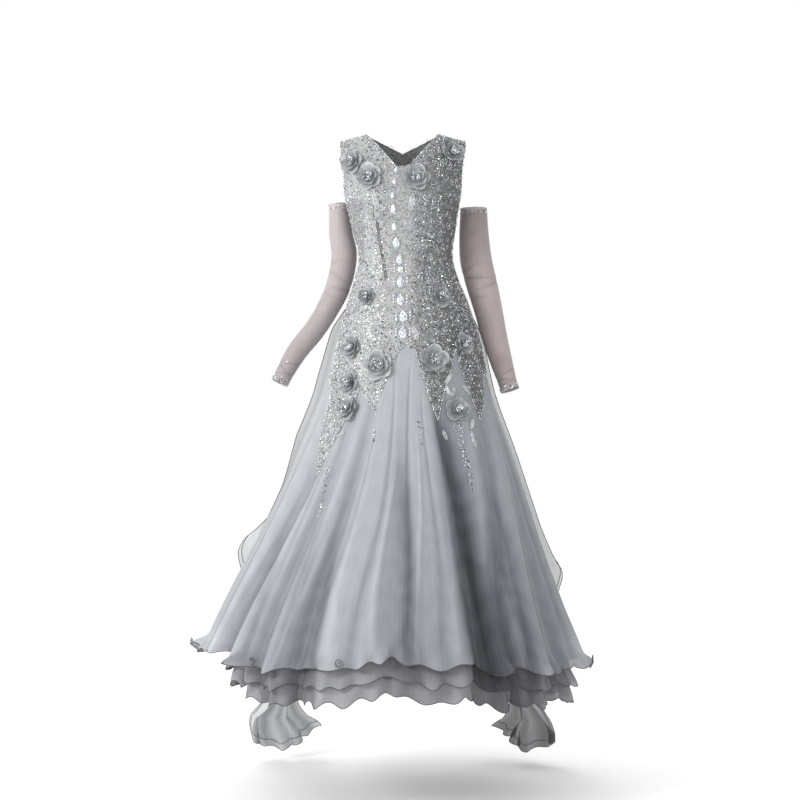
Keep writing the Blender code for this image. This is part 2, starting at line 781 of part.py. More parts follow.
def make_float(name, side):
    """A sheer panel sewn over the back hip, which falls outside the skirt to a bell-shaped tail."""
    points = {}
    for i in range(FLOAT_COLUMNS + 1):
        for row, down in enumerate(FLOAT_ROWS):

            def point_at(a, b):
                return float_point(min(max(a, 0.0), 1.0), min(max(b, 0.0), 1.0), side)

            direction = normal_of(point_at, i / FLOAT_COLUMNS, down, 0.004, -0.004) * side
            points[(i * side, row)] = (point_at(i / FLOAT_COLUMNS, down), direction)
    numbers = sorted({i * side for i in range(FLOAT_COLUMNS + 1)})
    faces = grid_faces(numbers, range(len(FLOAT_ROWS)))
    return make_wall(name, "float", points, faces, ORGANZA_WALL)


def make_sleeve(name, sections):
    """A mesh sleeve along the arm, open at both ends."""
    points = {}
    middles = [Vector(row[:3]) for row in sections]
    for row, (_, _, _, half_width, half_depth) in enumerate(sections):
        before, after = middles[max(row - 1, 0)], middles[min(row + 1, len(sections) - 1)]
        down = (after - before).normalized()
        deep = (Vector((0.0, 1.0, 0.0)) - down * down.y).normalized()
        wide = deep.cross(down).normalized()
        for i in range(SLEEVE_SIDES):
            turn = 2 * math.pi * i / SLEEVE_SIDES
            offset = wide * half_width * math.sin(turn) - deep * half_depth * math.cos(turn)
            direction = (wide * half_depth * math.sin(turn) - deep * half_width * math.cos(turn)).normalized()
            points[(i, row)] = (middles[row] + offset, direction)
    faces = []
    for i in range(SLEEVE_SIDES):
        j = (i + 1) % SLEEVE_SIDES
        for row in range(len(sections) - 1):
            faces.append([(j, row), (j, row + 1), (i, row + 1), (i, row)])
    return make_wall(name, "sleeve", points, faces, SLEEVE_WALL)


def make_front(panels):
    """The cloth that faces forwards, as one tree of faces to lay pieces on."""
    vertices = []
    faces = []
    for panel in panels:
        start = len(vertices)
        vertices += [vertex.co.copy() for vertex in panel.data.vertices]
        faces += [[start + i for i in face.vertices] for face in panel.data.polygons]
    return BVHTree.FromPolygons(vertices, faces)


def front_hit(front, x, z):
    """The point of the cloth that shows at a place in the front view, and the cloth's direction out.

    A look that falls through a seam's gap is taken beside it.
    """
    forward = Vector((0.0, 1.0, 0.0))
    looks = [front.ray_cast(Vector((x + side, -1.0, z)), forward)[:2] for side in (0.0, SEAM_LOOK, -SEAM_LOOK)]
    nearest = min(look[0].y for look in looks)
    return next(look for look in looks if look[0].y < nearest + SEAM_DEPTH)


def front_point(front, x, z, out=0.0):
    place, direction = front_hit(front, x, z)
    return place + direction * out


def front_frame(front, x, z):
    """Directions across, up and out at a place of the front."""
    across = front_point(front, x + 0.006, z) - front_point(front, x - 0.006, z)
    up = front_point(front, x, z + 0.006) - front_point(front, x, z - 0.006)
    out = across.cross(up).normalized()
    side = across.normalized()
    return side, out.cross(side), out


def make_applied(front, name, slot, x, z, sides, rings, outline, lift, gap=APPLIED_GAP):
    """A closed piece that lies on the front, its underside following the cloth."""
    across, up, out = front_frame(front, x, z)
    vertices = []
    faces = []

    def ring_at(share, heights):
        start = len(vertices)
        for i in range(sides):
            turn = 2 * math.pi * i / sides
            a, b = outline(turn)
            step = across * a * share + up * b * share
            vertices.append(front_point(front, x + step.x, z + step.z, gap) + out * heights(turn))
        return start

    def join(inner, outer):
        for i in range(sides):
            j = (i + 1) % sides
            faces.append([inner + i, outer + i, outer + j, inner + j])

    vertices.append(front_point(front, x, z, gap) + out * rings[0][1])
    previous = None
    for share, height in rings[1:]:
        ring = ring_at(share, lambda turn, s=share, h=height: h + lift(turn, s))
        if previous is None:
            faces.extend([0, ring + i, ring + (i + 1) % sides] for i in range(sides))
        else:
            join(previous, ring)
        previous = ring
    for share in (1.0, 0.5):
        ring = ring_at(share, lambda turn: 0.0)
        join(previous, ring)
        previous = ring
    vertices.append(front_point(front, x, z, gap))
    last = len(vertices) - 1
    faces.extend([last, previous + (i + 1) % sides, previous + i] for i in range(sides))
    mesh = bpy.data.meshes.new(name)
    mesh.from_pydata(vertices, [], faces)
    mesh.materials.append(make_finish(slot))
    thing = bpy.data.objects.new(name, mesh)
    bpy.context.scene.collection.objects.link(thing)
    return thing


def make_flower(front, number, x, z, turned, gap, size):
    """A fabric flower of cupped petals round a raised middle."""
    start = math.radians(turned)

    def outline(turn):
        radius = size * (1.0 + 0.10 * math.cos(FLOWER_PETALS * (turn + start)))
        return radius * math.cos(turn), radius * math.sin(turn)

    def lift(turn, share):
        return PETAL_CUP * share * (0.5 + 0.5 * math.cos(FLOWER_PETALS * (turn + start)))

    name = f"flower_{number:02d}"
    return make_applied(front, name, "flower", x, z, FLOWER_SIDES, FLOWER_RINGS, outline, lift, gap)


def make_crystal(front, number, x, z, half_width, half_length):
    """A large drop-shaped crystal with its point up."""

    def outline(turn):
        taper = 1.0 - 0.35 * max(0.0, math.sin(turn))
        return half_width * taper * math.cos(turn), half_length * math.sin(turn)

    name = f"crystal_{number:02d}"
    return make_applied(front, name, "crystal", x, z, CRYSTAL_SIDES, CRYSTAL_RINGS, outline, lambda turn, share: 0.0)


def make_leaf(front, number, x, z, turned, half_length):
    """A thick corded leaf, pointed at both ends."""
    lean = math.radians(turned)

    def outline(turn):
        wide = half_length * LEAF_WIDTH_SHARE * signed_power(math.cos(turn), 1.5)
        long = half_length * math.sin(turn)
        return wide * math.cos(lean) - long * math.sin(lean), wide * math.sin(lean) + long * math.cos(lean)

    name = f"leaf_{number:02d}"
    return make_applied(front, name, "cord", x, z, LEAF_SIDES, LEAF_RINGS, outline, lambda turn, share: 0.0)


def main():
    clear_scene()
    front = [
        make_bodice_panel("bodice_front_centre", -44.0, 33.5, False),
        make_bodice_panel("bodice_front_left", -90.0, -44.0, False),
        make_bodice_panel("bodice_front_right", 33.5, 90.0, False),
        make_gore("skirt_front_centre", -29.0, 27.0),
        make_gore("skirt_front_left", -61.0, -29.0),
        make_gore("skirt_front_right", 27.0, 40.0),
        make_gore("skirt_side_left", -135.0, -61.0),
        make_gore("skirt_side_right", 40.0, 135.0),
    ]
    make_bodice_panel("bodice_back_right", 90.0, 180.0, True)
    make_bodice_panel("bodice_back_left", -180.0, -90.0, True)
    make_gore("skirt_back_left", -180.0, -135.0)
    make_gore("skirt_back_right", 135.0, 180.0)
    make_underskirt()
    make_frill()
    make_float("float_left", -1)
    make_float("float_right", 1)
    make_sleeve("sleeve_left", SLEEVE_LEFT)
    make_sleeve("sleeve_right", SLEEVE_RIGHT)
    cloth = make_front(front)
    for number, flower in enumerate(FLOWERS, 1):
        make_flower(cloth, number, *flower)
    for number, crystal in enumerate(CRYSTALS, 1):
        make_crystal(cloth, number, *crystal)
    for number, leaf in enumerate(LEAVES, 1):
        make_leaf(cloth, number, *leaf)


main()
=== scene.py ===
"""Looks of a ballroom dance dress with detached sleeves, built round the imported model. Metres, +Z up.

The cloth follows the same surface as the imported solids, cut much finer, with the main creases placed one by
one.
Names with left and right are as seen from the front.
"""

import itertools
import json
import math

import bpy
import numpy as np
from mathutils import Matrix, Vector
from mathutils.bvhtree import BVHTree

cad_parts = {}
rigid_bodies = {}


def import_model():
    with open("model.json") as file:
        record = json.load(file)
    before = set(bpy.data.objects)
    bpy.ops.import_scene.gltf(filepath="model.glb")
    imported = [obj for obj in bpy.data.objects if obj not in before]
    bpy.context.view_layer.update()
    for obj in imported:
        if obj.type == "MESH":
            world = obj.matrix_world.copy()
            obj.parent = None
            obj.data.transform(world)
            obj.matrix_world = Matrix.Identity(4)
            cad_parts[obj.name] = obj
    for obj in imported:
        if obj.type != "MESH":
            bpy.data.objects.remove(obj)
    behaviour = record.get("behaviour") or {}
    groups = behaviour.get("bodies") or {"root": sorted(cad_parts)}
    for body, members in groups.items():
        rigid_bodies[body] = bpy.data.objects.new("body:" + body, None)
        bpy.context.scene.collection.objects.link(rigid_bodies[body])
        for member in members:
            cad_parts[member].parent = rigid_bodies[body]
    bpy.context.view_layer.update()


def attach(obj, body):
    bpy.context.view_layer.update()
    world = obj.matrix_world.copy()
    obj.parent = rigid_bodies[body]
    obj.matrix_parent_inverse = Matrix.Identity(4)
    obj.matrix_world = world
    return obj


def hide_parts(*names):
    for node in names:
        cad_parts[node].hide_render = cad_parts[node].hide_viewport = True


RANDOM = np.random.default_rng(7)
LEVEL = np.array([1.0, 1.0, 0.0])
TINY = 1e-6
NEIGHBOURS = list(itertools.product((-1, 0, 1), repeat=3))

# Heights and the neck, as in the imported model
UNDERARM_Z = -0.144
SHOULDER_Z = 0.012
FOLD_START_Z = -0.520
HEM_Z = -1.225
HIP_Z = -0.500
HIP_ROW_Z = -0.440
NECK_HALF_WIDTH = 0.086
SHOULDER_SLOPE = 0.27
V_RISE = 0.280
BACK_NECK_RISE = 0.55
V_ANGLE = 3.5
MIDDLE_ANGLE = -2.0
CUP_DEPTH = 0.007
CUP_ANGLE = 33.0
CUP_SPREAD = 20.0
CUP_Z = -0.150
CUP_HEIGHT = 0.050

# Level sections of the dress: height, half width, front depth, back depth, middle in x, roundness
SECTIONS = np.array([
    (-0.144, 0.137, 0.106, 0.095, -0.003, 0.87),
    (-0.200, 0.126, 0.098, 0.090, -0.001, 0.87),
    (-0.283, 0.112, 0.087, 0.082, 0.004, 0.87),
    (-0.340, 0.125, 0.094, 0.096, 0.006, 0.88),
    (-0.389, 0.143, 0.104, 0.112, 0.009, 0.90),
    (-0.490, 0.172, 0.124, 0.134, 0.012, 0.93),
    (-0.560, 0.187, 0.142, 0.152, 0.011, 0.96),
    (-0.624, 0.205, 0.164, 0.176, 0.009, 1.00),
    (-0.744, 0.254, 0.215, 0.235, 0.004, 1.00),
    (-0.864, 0.302, 0.265, 0.290, -0.004, 1.00),
    (-0.984, 0.353, 0.312, 0.345, -0.015, 1.00),
    (-1.104, 0.407, 0.358, 0.400, -0.025, 1.00),
    (-1.224, 0.460, 0.402, 0.450, -0.029, 1.00),
    (-1.360, 0.500, 0.436, 0.492, -0.031, 1.00),
])

# Levels of the bodice above the underarm: rise, half width, angle of the armhole edge
UPPER_LEVELS = np.array([
    (0.00, 0.137, 90.0),
    (0.18, 0.146, 72.0),
    (0.355, 0.155, 64.5),
    (0.55, 0.163, 62.0),
    (0.74, 0.166, 62.5),
    (0.90, 0.166, 63.0),
    (1.00, 0.166, 63.0),
])

# Lines down the dress: angle at the hem, angle at the hip, height of the bodice's edge
LINES = np.array([
    (-180.0, -180.0, -0.640),
    (-158.0, -158.0, -0.520),
    (-135.0, -135.0, -0.660),
    (-112.0, -112.0, -0.530),
    (-90.0, -90.0, -0.560),
    (-74.0, -66.0, -0.600),
    (-61.0, -45.0, -0.800),
    (-44.0, -35.0, -0.590),
    (-29.0, -22.0, -0.645),
    (-19.0, -16.0, -0.585),
    (-8.0, -7.0, -0.508),
    (0.0, -2.0, -0.496),
    (8.0, 4.0, -0.508),
    (18.0, 10.5, -0.580),
    (27.0, 18.0, -0.672),
    (33.5, 36.0, -0.505),
    (40.0, 54.0, -0.668),
    (60.0, 70.0, -0.570),
    (90.0, 90.0, -0.560),
    (112.0, 112.0, -0.530),
    (135.0, 135.0, -0.660),
    (158.0, 158.0, -0.520),
    (180.0, 180.0, -0.640),
])

# Folds of the skirt that run in: angle at the hem, depth at the hem, half width in degrees
FOLDS = [
    (-158.0, 0.034, 7.0),
    (-135.0, 0.046, 6.0),
    (-112.0, 0.040, 6.5),
    (-84.0, 0.014, 6.0),
    (-61.0, 0.042, 4.8),
    (-44.0, 0.034, 4.0),
    (-29.0, 0.044, 4.4),
    (-14.0, 0.008, 5.0),
    (0.0, 0.022, 7.0),
    (14.0, 0.008, 5.0),
    (29.5, 0.066, 5.0),
    (40.0, 0.038, 4.0),
    (60.0, 0.024, 6.0),
    (90.0, 0.012, 6.0),
    (112.0, 0.042, 6.5),
    (135.0, 0.046, 6.0),
    (158.0, 0.034, 7.0),
    (180.0, 0.040, 7.0),
]
FOLD_POWER = 1.15

# Small creases laid over the folds: angle at the hem, depth at the hem, half width, height where it starts
CREASES = [
    (-171.0, 0.007, 2.0, -0.62),
    (-164.0, -0.006, 1.8, -0.75),
    (-149.0, 0.008, 2.4, -0.60),
    (-141.0, -0.006, 1.6, -0.82),
    (-126.0, 0.008, 2.0, -0.66),
    (-119.0, 0.005, 1.4, -0.90),
    (-104.0, 0.009, 2.2, -0.60),
    (-97.0, -0.005, 1.6, -0.80),
    (-91.0, 0.006, 1.8, -0.70),
    (-76.0, 0.008, 2.2, -0.64),
    (-70.0, -0.005, 1.6, -0.84),
    (-66.0, 0.005, 1.2, -0.74),
    (-55.0, -0.006, 1.8, -0.80),
    (-51.0, 0.006, 1.4, -0.66),
    (-38.0, 0.005, 1.3, -0.70),
    (-34.0, -0.005, 1.4, -0.86),
    (-23.0, 0.006, 1.4, -0.68),
    (-18.0, -0.004, 1.6, -0.90),
    (-10.0, 0.006, 1.6, -0.56),
    (-5.0, -0.004, 1.4, -0.74),
    (4.5, 0.007, 1.7, -0.54),
    (9.0, -0.004, 1.2, -0.70),
    (16.5, 0.005, 1.5, -0.60),
    (22.0, -0.004, 1.3, -0.82),
    (34.0, -0.007, 1.6, -0.64),
    (44.0, 0.005, 1.3, -0.72),
    (49.0, -0.006, 1.8, -0.66),
    (54.0, 0.005, 1.3, -0.80),
    (68.0, 0.008, 2.2, -0.64),
    (75.0, -0.005, 1.8, -0.78),
    (83.0, 0.008, 2.0, -0.62),
    (98.0, 0.007, 2.0, -0.66),
    (104.0, -0.006, 1.6, -0.84),
    (121.0, 0.008, 2.2, -0.62),
    (128.0, -0.005, 1.5, -0.86),
    (144.0, 0.008, 2.0, -0.64),
    (151.0, -0.006, 1.8, -0.76),
    (168.0, 0.008, 2.2, -0.60),
    (174.0, -0.005, 1.6, -0.88),
]
CREASE_LIMIT = 1.2
CREASE_SWAY = 1.6
CREASE_BENDS = 9.0

# Height of the outer hem by angle
OUTER_HEM = np.array([
    (-180.0, -1.272),
    (-135.0, -1.262),
    (-90.0, -1.224),
    (-72.0, -1.211),
    (-64.0, -1.206),
    (-57.0, -1.218),
    (-44.0, -1.234),
    (-29.0, -1.222),
    (-14.0, -1.219),
    (0.0, -1.192),
    (12.0, -1.218),
    (25.0, -1.204),
    (34.0, -1.244),
    (40.0, -1.226),
    (50.0, -1.244),
    (60.0, -1.236),
    (90.0, -1.264),
    (135.0, -1.268),
    (180.0, -1.272),
])
HEM_SOFTNESS = 3.0

# Columns round the dress in degrees. Rows down it are the share where finer rows start, then how many coarse
# and how many fine
OUTER_STEP = 0.30
UNDER_STEP = 0.6
BODICE_STEP = 1.0
OUTER_ROWS = (0.90, 46, 26)
UNDER_ROWS = (0.90, 40, 16)
FLOAT_ROWS = (0.92, 90, 22)
FLOAT_COLUMNS = 141
FRILL_ROWS = 24
BODICE_ROWS = 56
NECK_ROWS = 26
CHEST_ROWS = 14
SLEEVE_COLUMNS = 72
SLEEVE_ROWS = 150
# Grids of the bodice are joined where their points round to the same step; steps in a metre
JOIN_STEPS = 20000

# Panels: name, first and last angle at the hem
GORES = [
    ("skirt_back_left", -180.0, -135.0),
    ("skirt_side_left", -135.0, -61.0),
    ("skirt_front_left", -61.0, -29.0),
    ("skirt_front_centre", -29.0, 27.0),
    ("skirt_front_right", 27.0, 40.0),
    ("skirt_side_right", 40.0, 135.0),
    ("skirt_back_right", 135.0, 180.0),
]
BODICE_PANELS = [
    ("bodice_back_left", -180.0, -90.0),
    ("bodice_front_left", -90.0, -44.0),
    ("bodice_front_centre", -44.0, 33.5),
    ("bodice_front_right", 33.5, 90.0),
    ("bodice_back_right", 90.0, 180.0),
]
GORE_TUCK = 0.004
GORE_LIFT = -0.0009
GORE_LIFT_SHARE = 0.05

# Under layers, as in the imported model
UNDER_INSIDE = 0.010
UNDER_TOP_INSIDE = 0.0030
UNDER_TOP_REACH = 0.12
UNDER_DROP = 0.040
UNDER_FOLDS = 0.92
UNDER_CREASES = 0.5
UNDER_TUCK_Z = -0.900
UNDER_TUCK = np.array([
    (-180.0, 0.014),
    (-120.0, 0.045),
    (-90.0, 0.066),
    (-62.0, 0.050),
    (-36.0, 0.010),
    (0.0, 0.004),
    (40.0, 0.006),
    (70.0, 0.024),
    (90.0, 0.034),
    (125.0, 0.026),
    (180.0, 0.014),
])
FRILL_TOP_SHARE = 0.90
FRILL_INSIDE = 0.012
FRILL_REACH = 0.3
FRILL_GAP = 0.002
FRILL_DROP = 0.078

# Hem waves: degrees a wave, rise, how far out, share of the height that curls, turn of the first wave
OUTER_WAVES = (9.3, 0.0055, 0.017, 0.070, 0.4)
UNDER_WAVES = (8.1, 0.0060, 0.015, 0.060, 1.9)
FRILL_WAVES = (6.9, 0.0075, 0.016, 0.80, 3.3)
CURL_POWER = 1.4
# What makes the waves uneven: strength, bends round the hem, share of the first wave's turn
WAVE_SWAYS = [(1.5, 5, 1), (0.9, 13, 2)]
HEM_CORD = 0.0010
FLOAT_CORD = 0.0009
# Places where the outer hem rolls up into a spiral: angle at the hem, half width, how far out
HEM_SPIRALS = [
    (-52.0, 2.2, 0.016),
    (-20.5, 2.2, 0.016),
    (37.0, 1.8, 0.012),
    (76.0, 2.2, 0.014),
    (-98.0, 2.2, 0.014),
]
SPIRAL_SWAY = 1.3
SPIRAL_RISE = 0.012
SPIRAL_RADIUS = 0.012
SPIRAL_TURNS = 1.7
SPIRAL_TAPER = 0.75
SPIRAL_OUT = 0.004
SPIRAL_POINTS = 40

# Floats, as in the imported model, but for their tails. A foot table is share across and height, and a wing
# table is share down and how far out. A bell table draws a tail in and flares it: height, middle in x before
# and after, share of the width
FLOAT_TOP_Z = -0.385
FLOAT_TOP_ANGLES = (105.8, 168.6)
FLOAT_TOP_SLANT = 0.003
FLOAT_OUT = 0.0020
FLOAT_LIFT = 0.012
FLOAT_LIFT_SHARE = 0.14
FLOAT_SPREAD = 0.020
FLOAT_WING_SHARE = 0.30
FLOAT_FLUTE = 0.020
FLOAT_FLUTES = 3.5
FLOAT_SMALL_FLUTE = 0.0025
FLOAT_PINCH_Z = -1.390
FLOAT_PINCH_REACH = 0.085
FLOAT_PINCH = 0.52
FLOAT_FLARE_Z = -1.420
FLOAT_FLARE_REACH = 0.07
FLOAT_FLARE = 0.10
FLOAT_WAVES = 8.0
FLOAT_WAVE_SWAY = 2.2
FLOAT_CURL_START = 0.94
FLOAT_CURL_OUT = 0.012
FLOAT_CURL_RISE = 0.005
FLOAT_FALL_Z = -1.310
# A float's tail light is the light its tail keeps under a painted shadow; 1 is none
FLOAT_LEFT = {
    "foot_angles": (119.0, 163.6),
    "start": 0.6,
    "painted_tail_light": 1.0,
    "stoned_rows": 16,
    "foot": [(0.0, -0.975), (0.12, -1.110), (0.28, -1.340), (0.45, -1.520), (0.70, -1.545), (1.0, -1.500)],
    "wing": [
        (0.0, 0.0),
        (0.10, 0.016),
        (0.30, 0.026),
        (0.55, 0.028),
        (0.75, 0.010),
        (0.90, 0.012),
        (1.0, 0.048),
    ],
    "bell": [
        (-1.56, -0.262, -0.303, 1.05),
        (-1.49, -0.258, -0.303, 1.10),
        (-1.46, -0.262, -0.305, 0.98),
        (-1.41, -0.326, -0.324, 0.70),
        (-1.34, -0.330, -0.330, 1.00),
    ],
}
FLOAT_RIGHT = {
    "foot_angles": (112.0, 151.7),
    "start": 0.9,
    # The right float's tail is darkened with a painted shadow
    "painted_tail_light": 0.36,
    "stoned_rows": 46,
    "foot": [(0.0, -1.036), (0.12, -1.140), (0.28, -1.340), (0.45, -1.505), (0.70, -1.538), (1.0, -1.490)],
    "wing": [(0.0, 0.0), (0.85, 0.0), (1.0, 0.008)],
    "bell": [
        (-1.56, 0.284, 0.310, 1.35),
        (-1.49, 0.284, 0.310, 1.25),
        (-1.46, 0.290, 0.311, 0.98),
        (-1.41, 0.328, 0.313, 0.74),
        (-1.34, 0.330, 0.330, 1.00),
    ],
}
# The corners of a tail round up by this much, at this distance from its middle
TAIL_HALF = 0.135
TAIL_ROUND = 0.030
TAIL_REACH = 0.105
TAIL_LIMIT = 1.3
TAIL_GROWTH = 0.09

# Sleeve sections down the arm: middle x, y, z, half width, half depth
SLEEVE_LEFT = [
    (-0.158, 0.050, -0.150, 0.0240, 0.032),
    (-0.153, 0.048, -0.220, 0.0285, 0.033),
    (-0.145, 0.044, -0.276, 0.0310, 0.034),
    (-0.159, 0.036, -0.349, 0.0300, 0.033),
    (-0.187, 0.026, -0.409, 0.0270, 0.030),
    (-0.217, 0.018, -0.457, 0.0260, 0.028),
    (-0.255, 0.008, -0.505, 0.0250, 0.027),
    (-0.283, 0.000, -0.553, 0.0220, 0.025),
    (-0.298, -0.004, -0.582, 0.0205, 0.023),
]
SLEEVE_RIGHT = [
    (0.169, 0.050, -0.160, 0.0320, 0.034),
    (0.170, 0.048, -0.228, 0.0360, 0.035),
    (0.175, 0.044, -0.288, 0.0385, 0.036),
    (0.189, 0.036, -0.348, 0.0375, 0.034),
    (0.204, 0.028, -0.408, 0.0340, 0.031),
    (0.217, 0.020, -0.468, 0.0310, 0.029),
    (0.233, 0.012, -0.528, 0.0270, 0.027),
    (0.247, 0.004, -0.576, 0.0230, 0.025),
    (0.254, 0.000, -0.600, 0.0220, 0.024),
]

# Flowers: x, z, turn of the petals in degrees, radius of the outer petals
FLOWERS = [
    (-0.122, -0.062, 10.0, 0.0290),
    (-0.082, -0.100, 40.0, 0.0305),
    (0.028, -0.102, 0.0, 0.0325),
    (0.115, -0.038, 25.0, 0.0290),
    (-0.087, -0.381, 15.0, 0.0220),
    (0.085, -0.383, 50.0, 0.0265),
    (-0.122, -0.501, 0.0, 0.0265),
    (-0.061, -0.543, 30.0, 0.0365),
    (-0.127, -0.585, 55.0, 0.0290),
    (-0.132, -0.646, 20.0, 0.0300),
    (0.068, -0.531, 12.0, 0.0345),
    (0.138, -0.494, 35.0, 0.0265),
    (0.124, -0.648, 5.0, 0.0305),
]

# Crystals: x, z, half width, half length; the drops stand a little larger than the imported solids
CRYSTALS = [
    (-0.019, -0.084, 0.0050, 0.0078),
    (-0.023, -0.111, 0.0052, 0.0085),
    (-0.027, -0.144, 0.0052, 0.0095),
    (-0.025, -0.176, 0.0070, 0.0125),
    (-0.023, -0.217, 0.0062, 0.0110),
    (-0.019, -0.254, 0.0082, 0.0135),
    (-0.011, -0.293, 0.0080, 0.0115),
    (-0.009, -0.315, 0.0068, 0.0082),
    (-0.009, -0.347, 0.0088, 0.0140),
    (-0.009, -0.388, 0.0090, 0.0140),
    (-0.002, -0.427, 0.0095, 0.0145),
    (-0.003, -0.466, 0.0095, 0.0135),
]

# Corded leaves: x, z, turn from upright in degrees, half length
LEAVES = [
    (-0.066, -0.158, 12.0, 0.018),
    (0.018, -0.160, -10.0, 0.018),
    (0.026, -0.468, 20.0, 0.017),
    (0.104, -0.574, -35.0, 0.014),
    (0.102, -0.602, 20.0, 0.012),
    (0.158, -0.680, -30.0, 0.014),
    (-0.168, -0.690, 14.0, 0.018),
]
SMALL_LEAVES = [
    (0.114, -0.606, -20.0, 0.012),
    (0.146, -0.600, 35.0, 0.012),
    (0.162, -0.722, 10.0, 0.012),
    (0.158, -0.706, 0.0, 0.010),
    (-0.172, -0.655, -10.0, 0.014),
    (-0.148, -0.708, -35.0, 0.013),
    (-0.028, -0.470, 25.0, 0.013),
    (-0.070, -0.620, -15.0, 0.013),
    (0.094, -0.705, 15.0, 0.012),
]
LEAF_WIDTH_SHARE = 0.34
LEAF_POINTS = 36
LEAF_CORD = 0.0010
SMALL_LEAF_CORD = 0.0008
# Cords of a leaf, one inside the other: share of its width, height
LEAF_RINGS = [(1.0, 0.0012), (0.62, 0.0022), (0.25, 0.0028)]
SMALL_LEAF_RINGS = [(1.0, 0.0010), (0.5, 0.0018)]

# Rings of a crystal from its edge up: share of its outline, height, turn in sides
CRYSTAL_RINGS = [(1.0, 0.0008, 0.0), (1.0, 0.0016, 0.0), (0.72, 0.0036, 0.5), (0.42, 0.0046, 0.0)]
CRYSTAL_SIDES = 12
CRYSTAL_TAPER = 0.62
CRYSTAL_TOP = 0.0048
# Tints of the crystal facets: painted glints in the coating's colours, white and dark ones among them
CRYSTAL_GLINT_TINTS = [
    (0.92, 0.95, 1.00),
    (0.40, 0.70, 0.66),
    (0.72, 0.42, 0.70),
    (0.88, 0.80, 0.46),
    (0.42, 0.46, 0.80),
    (0.30, 0.62, 0.46),
    (1.00, 1.00, 1.00),
    (0.24, 0.28, 0.34),
    (0.50, 0.54, 0.60),
]

# Petal layers: how many, length and half width against the radius, height, lift, cup, curl, turn
PETAL_LAYERS = [
    (5, 1.04, 0.50, 0.0008, 0.0030, 0.0030, 0.0022, 0.0),
    (5, 0.76, 0.41, 0.0036, 0.0045, 0.0045, 0.0030, 36.0),
    (4, 0.50, 0.29, 0.0062, 0.0050, 0.0045, 0.0030, 12.0),
]
PETAL_RUFFLE = 0.0013
PETAL_SWAY = 6.0
PETAL_VARIANCE = 0.06
PETAL_STEP = 0.0009
FLOWER_STONES = 30
FLOWER_HEART = 0.36

# Creases of the sleeves: share down the arm, turn round it, depth, width, slant
SLEEVE_CREASES = [
    (0.30, 80.0, 0.0012, 0.010, 0.02),
    (0.34, 20.0, 0.0010, 0.008, -0.02),
    (0.38, 300.0, 0.0012, 0.009, 0.02),
    (0.43, 60.0, 0.0009, 0.008, -0.01),
    (0.83, 340.0, 0.0010, 0.007, 0.02),
    (0.87, 40.0, 0.0012, 0.007, -0.02),
    (0.91, 0.0, 0.0012, 0.007, 0.02),
    (0.94, 90.0, 0.0010, 0.006, -0.02),
]
CREASE_REACH = 70.0
# Depth of crease that darkens the mesh: painted shade in the creases
CREASE_DARKNESS = 0.003
# Sleeves: name, sections, light and dark tone, and painted light and shade down the arm: how light it is at its
# top, below its elbow and at its cuff. The right sleeve's darker dark tone is painted shade
SLEEVES = [
    ("sleeve_left", SLEEVE_LEFT, (0.405, 0.355, 0.362), (0.215, 0.185, 0.196), (0.95, 0.80, 0.48)),
    ("sleeve_right", SLEEVE_RIGHT, (0.400, 0.338, 0.332), (0.120, 0.096, 0.098), (0.42, 1.0, 0.80)),
]
TONE_PLACES = (0.0, 0.4, 1.0)
SLEEVE_STONES = 330
SLEEVE_SPACING = 0.011
SLEEVE_STONE = 0.0009
SLEEVE_STONE_ROWS = (0, 3, -1, -3, -5, -8)

# A cut stone's flat top and height, against its radius; how far off the cloth stones lie, and how they lean
GEM_TOP = 0.55
GEM_HEIGHT = 0.62
STONE_LIFT = 0.0006
STONE_TILT = 0.125
COATED_SHARE = 0.06
# Share of dark stones on the bodice, by x
DARK_STONES = [(-0.05, 0.30), (0.06, 0.52), (0.15, 0.62)]
# Lace cords: a ring and a leaf, each with its least and most half length, share of width and point
LACE_RING = (0.0035, 0.0050, 0.9, 1.0)
LACE_LEAF = (0.0065, 0.0105, 0.40, 1.4)
LACE_RING_SHARE = 0.4
LACE_COUNT = 9000
LACE_SPACING = 0.0150
LACE_POINTS = 12
LACE_LIFT = 0.0012
LACE_CORD = 0.00055
# Lines of dark beads on the front: places in x and z
BEAD_LINES = [
    [(-0.073, -0.166), (-0.072, -0.200)],
    [(-0.066, -0.198), (-0.060, -0.250), (-0.050, -0.300), (-0.044, -0.345)],
    [(-0.062, -0.205), (-0.055, -0.255), (-0.046, -0.300), (-0.040, -0.340)],
    [(0.067, -0.175), (0.066, -0.232)],
    [(0.060, -0.240), (0.050, -0.300), (0.045, -0.350)],
]
# Tails of stones below the points of the bodice: places in x and z, half width at the top
STONE_TAILS = [
    ([(0.118, -0.655), (0.128, -0.705), (0.143, -0.765), (0.160, -0.832)], 0.015),
    ([(-0.176, -0.780), (-0.188, -0.850), (-0.196, -0.890)], 0.006),
    ([(-0.064, -0.645), (-0.068, -0.690), (-0.070, -0.720)], 0.005),
    ([(0.036, -0.672), (0.038, -0.710), (0.041, -0.735)], 0.005),
]
LINE_LIFT = 0.0006
TAIL_DENSITY = 36000
TAIL_TAPER = 0.85
# The ring of stones round a crystal, and the pair beside each of the lower ones
RING_GAP = 0.0016
PAIR_GAP = 0.0065
PAIRED_BELOW_Z = -0.300

# Painted shade of the organza: its value on open cloth, and the depth of fold that darkens it
SHADE_TOP = 0.84
SHADE_DEPTH = 0.032
# Corners of the hem where one layer shows alone: angle at the hem, half width
SHEER_CORNERS = [(-80.0, 13.0), (76.0, 10.0)]
SHEER_START = 0.86
SHEER_REACH = 0.08
# How strongly folds and creases darken the cloth: painted shade
FOLD_SHADE = 0.75
CREASE_SHADE = 1.8
# Painted shade across the front: how much light is left, by x, darker to the right away from the light
FRONT_PAINTED_LIGHT = [(0.03, 1.0), (0.10, 0.80), (0.20, 0.78), (0.36, 0.68), (0.42, 0.86)]
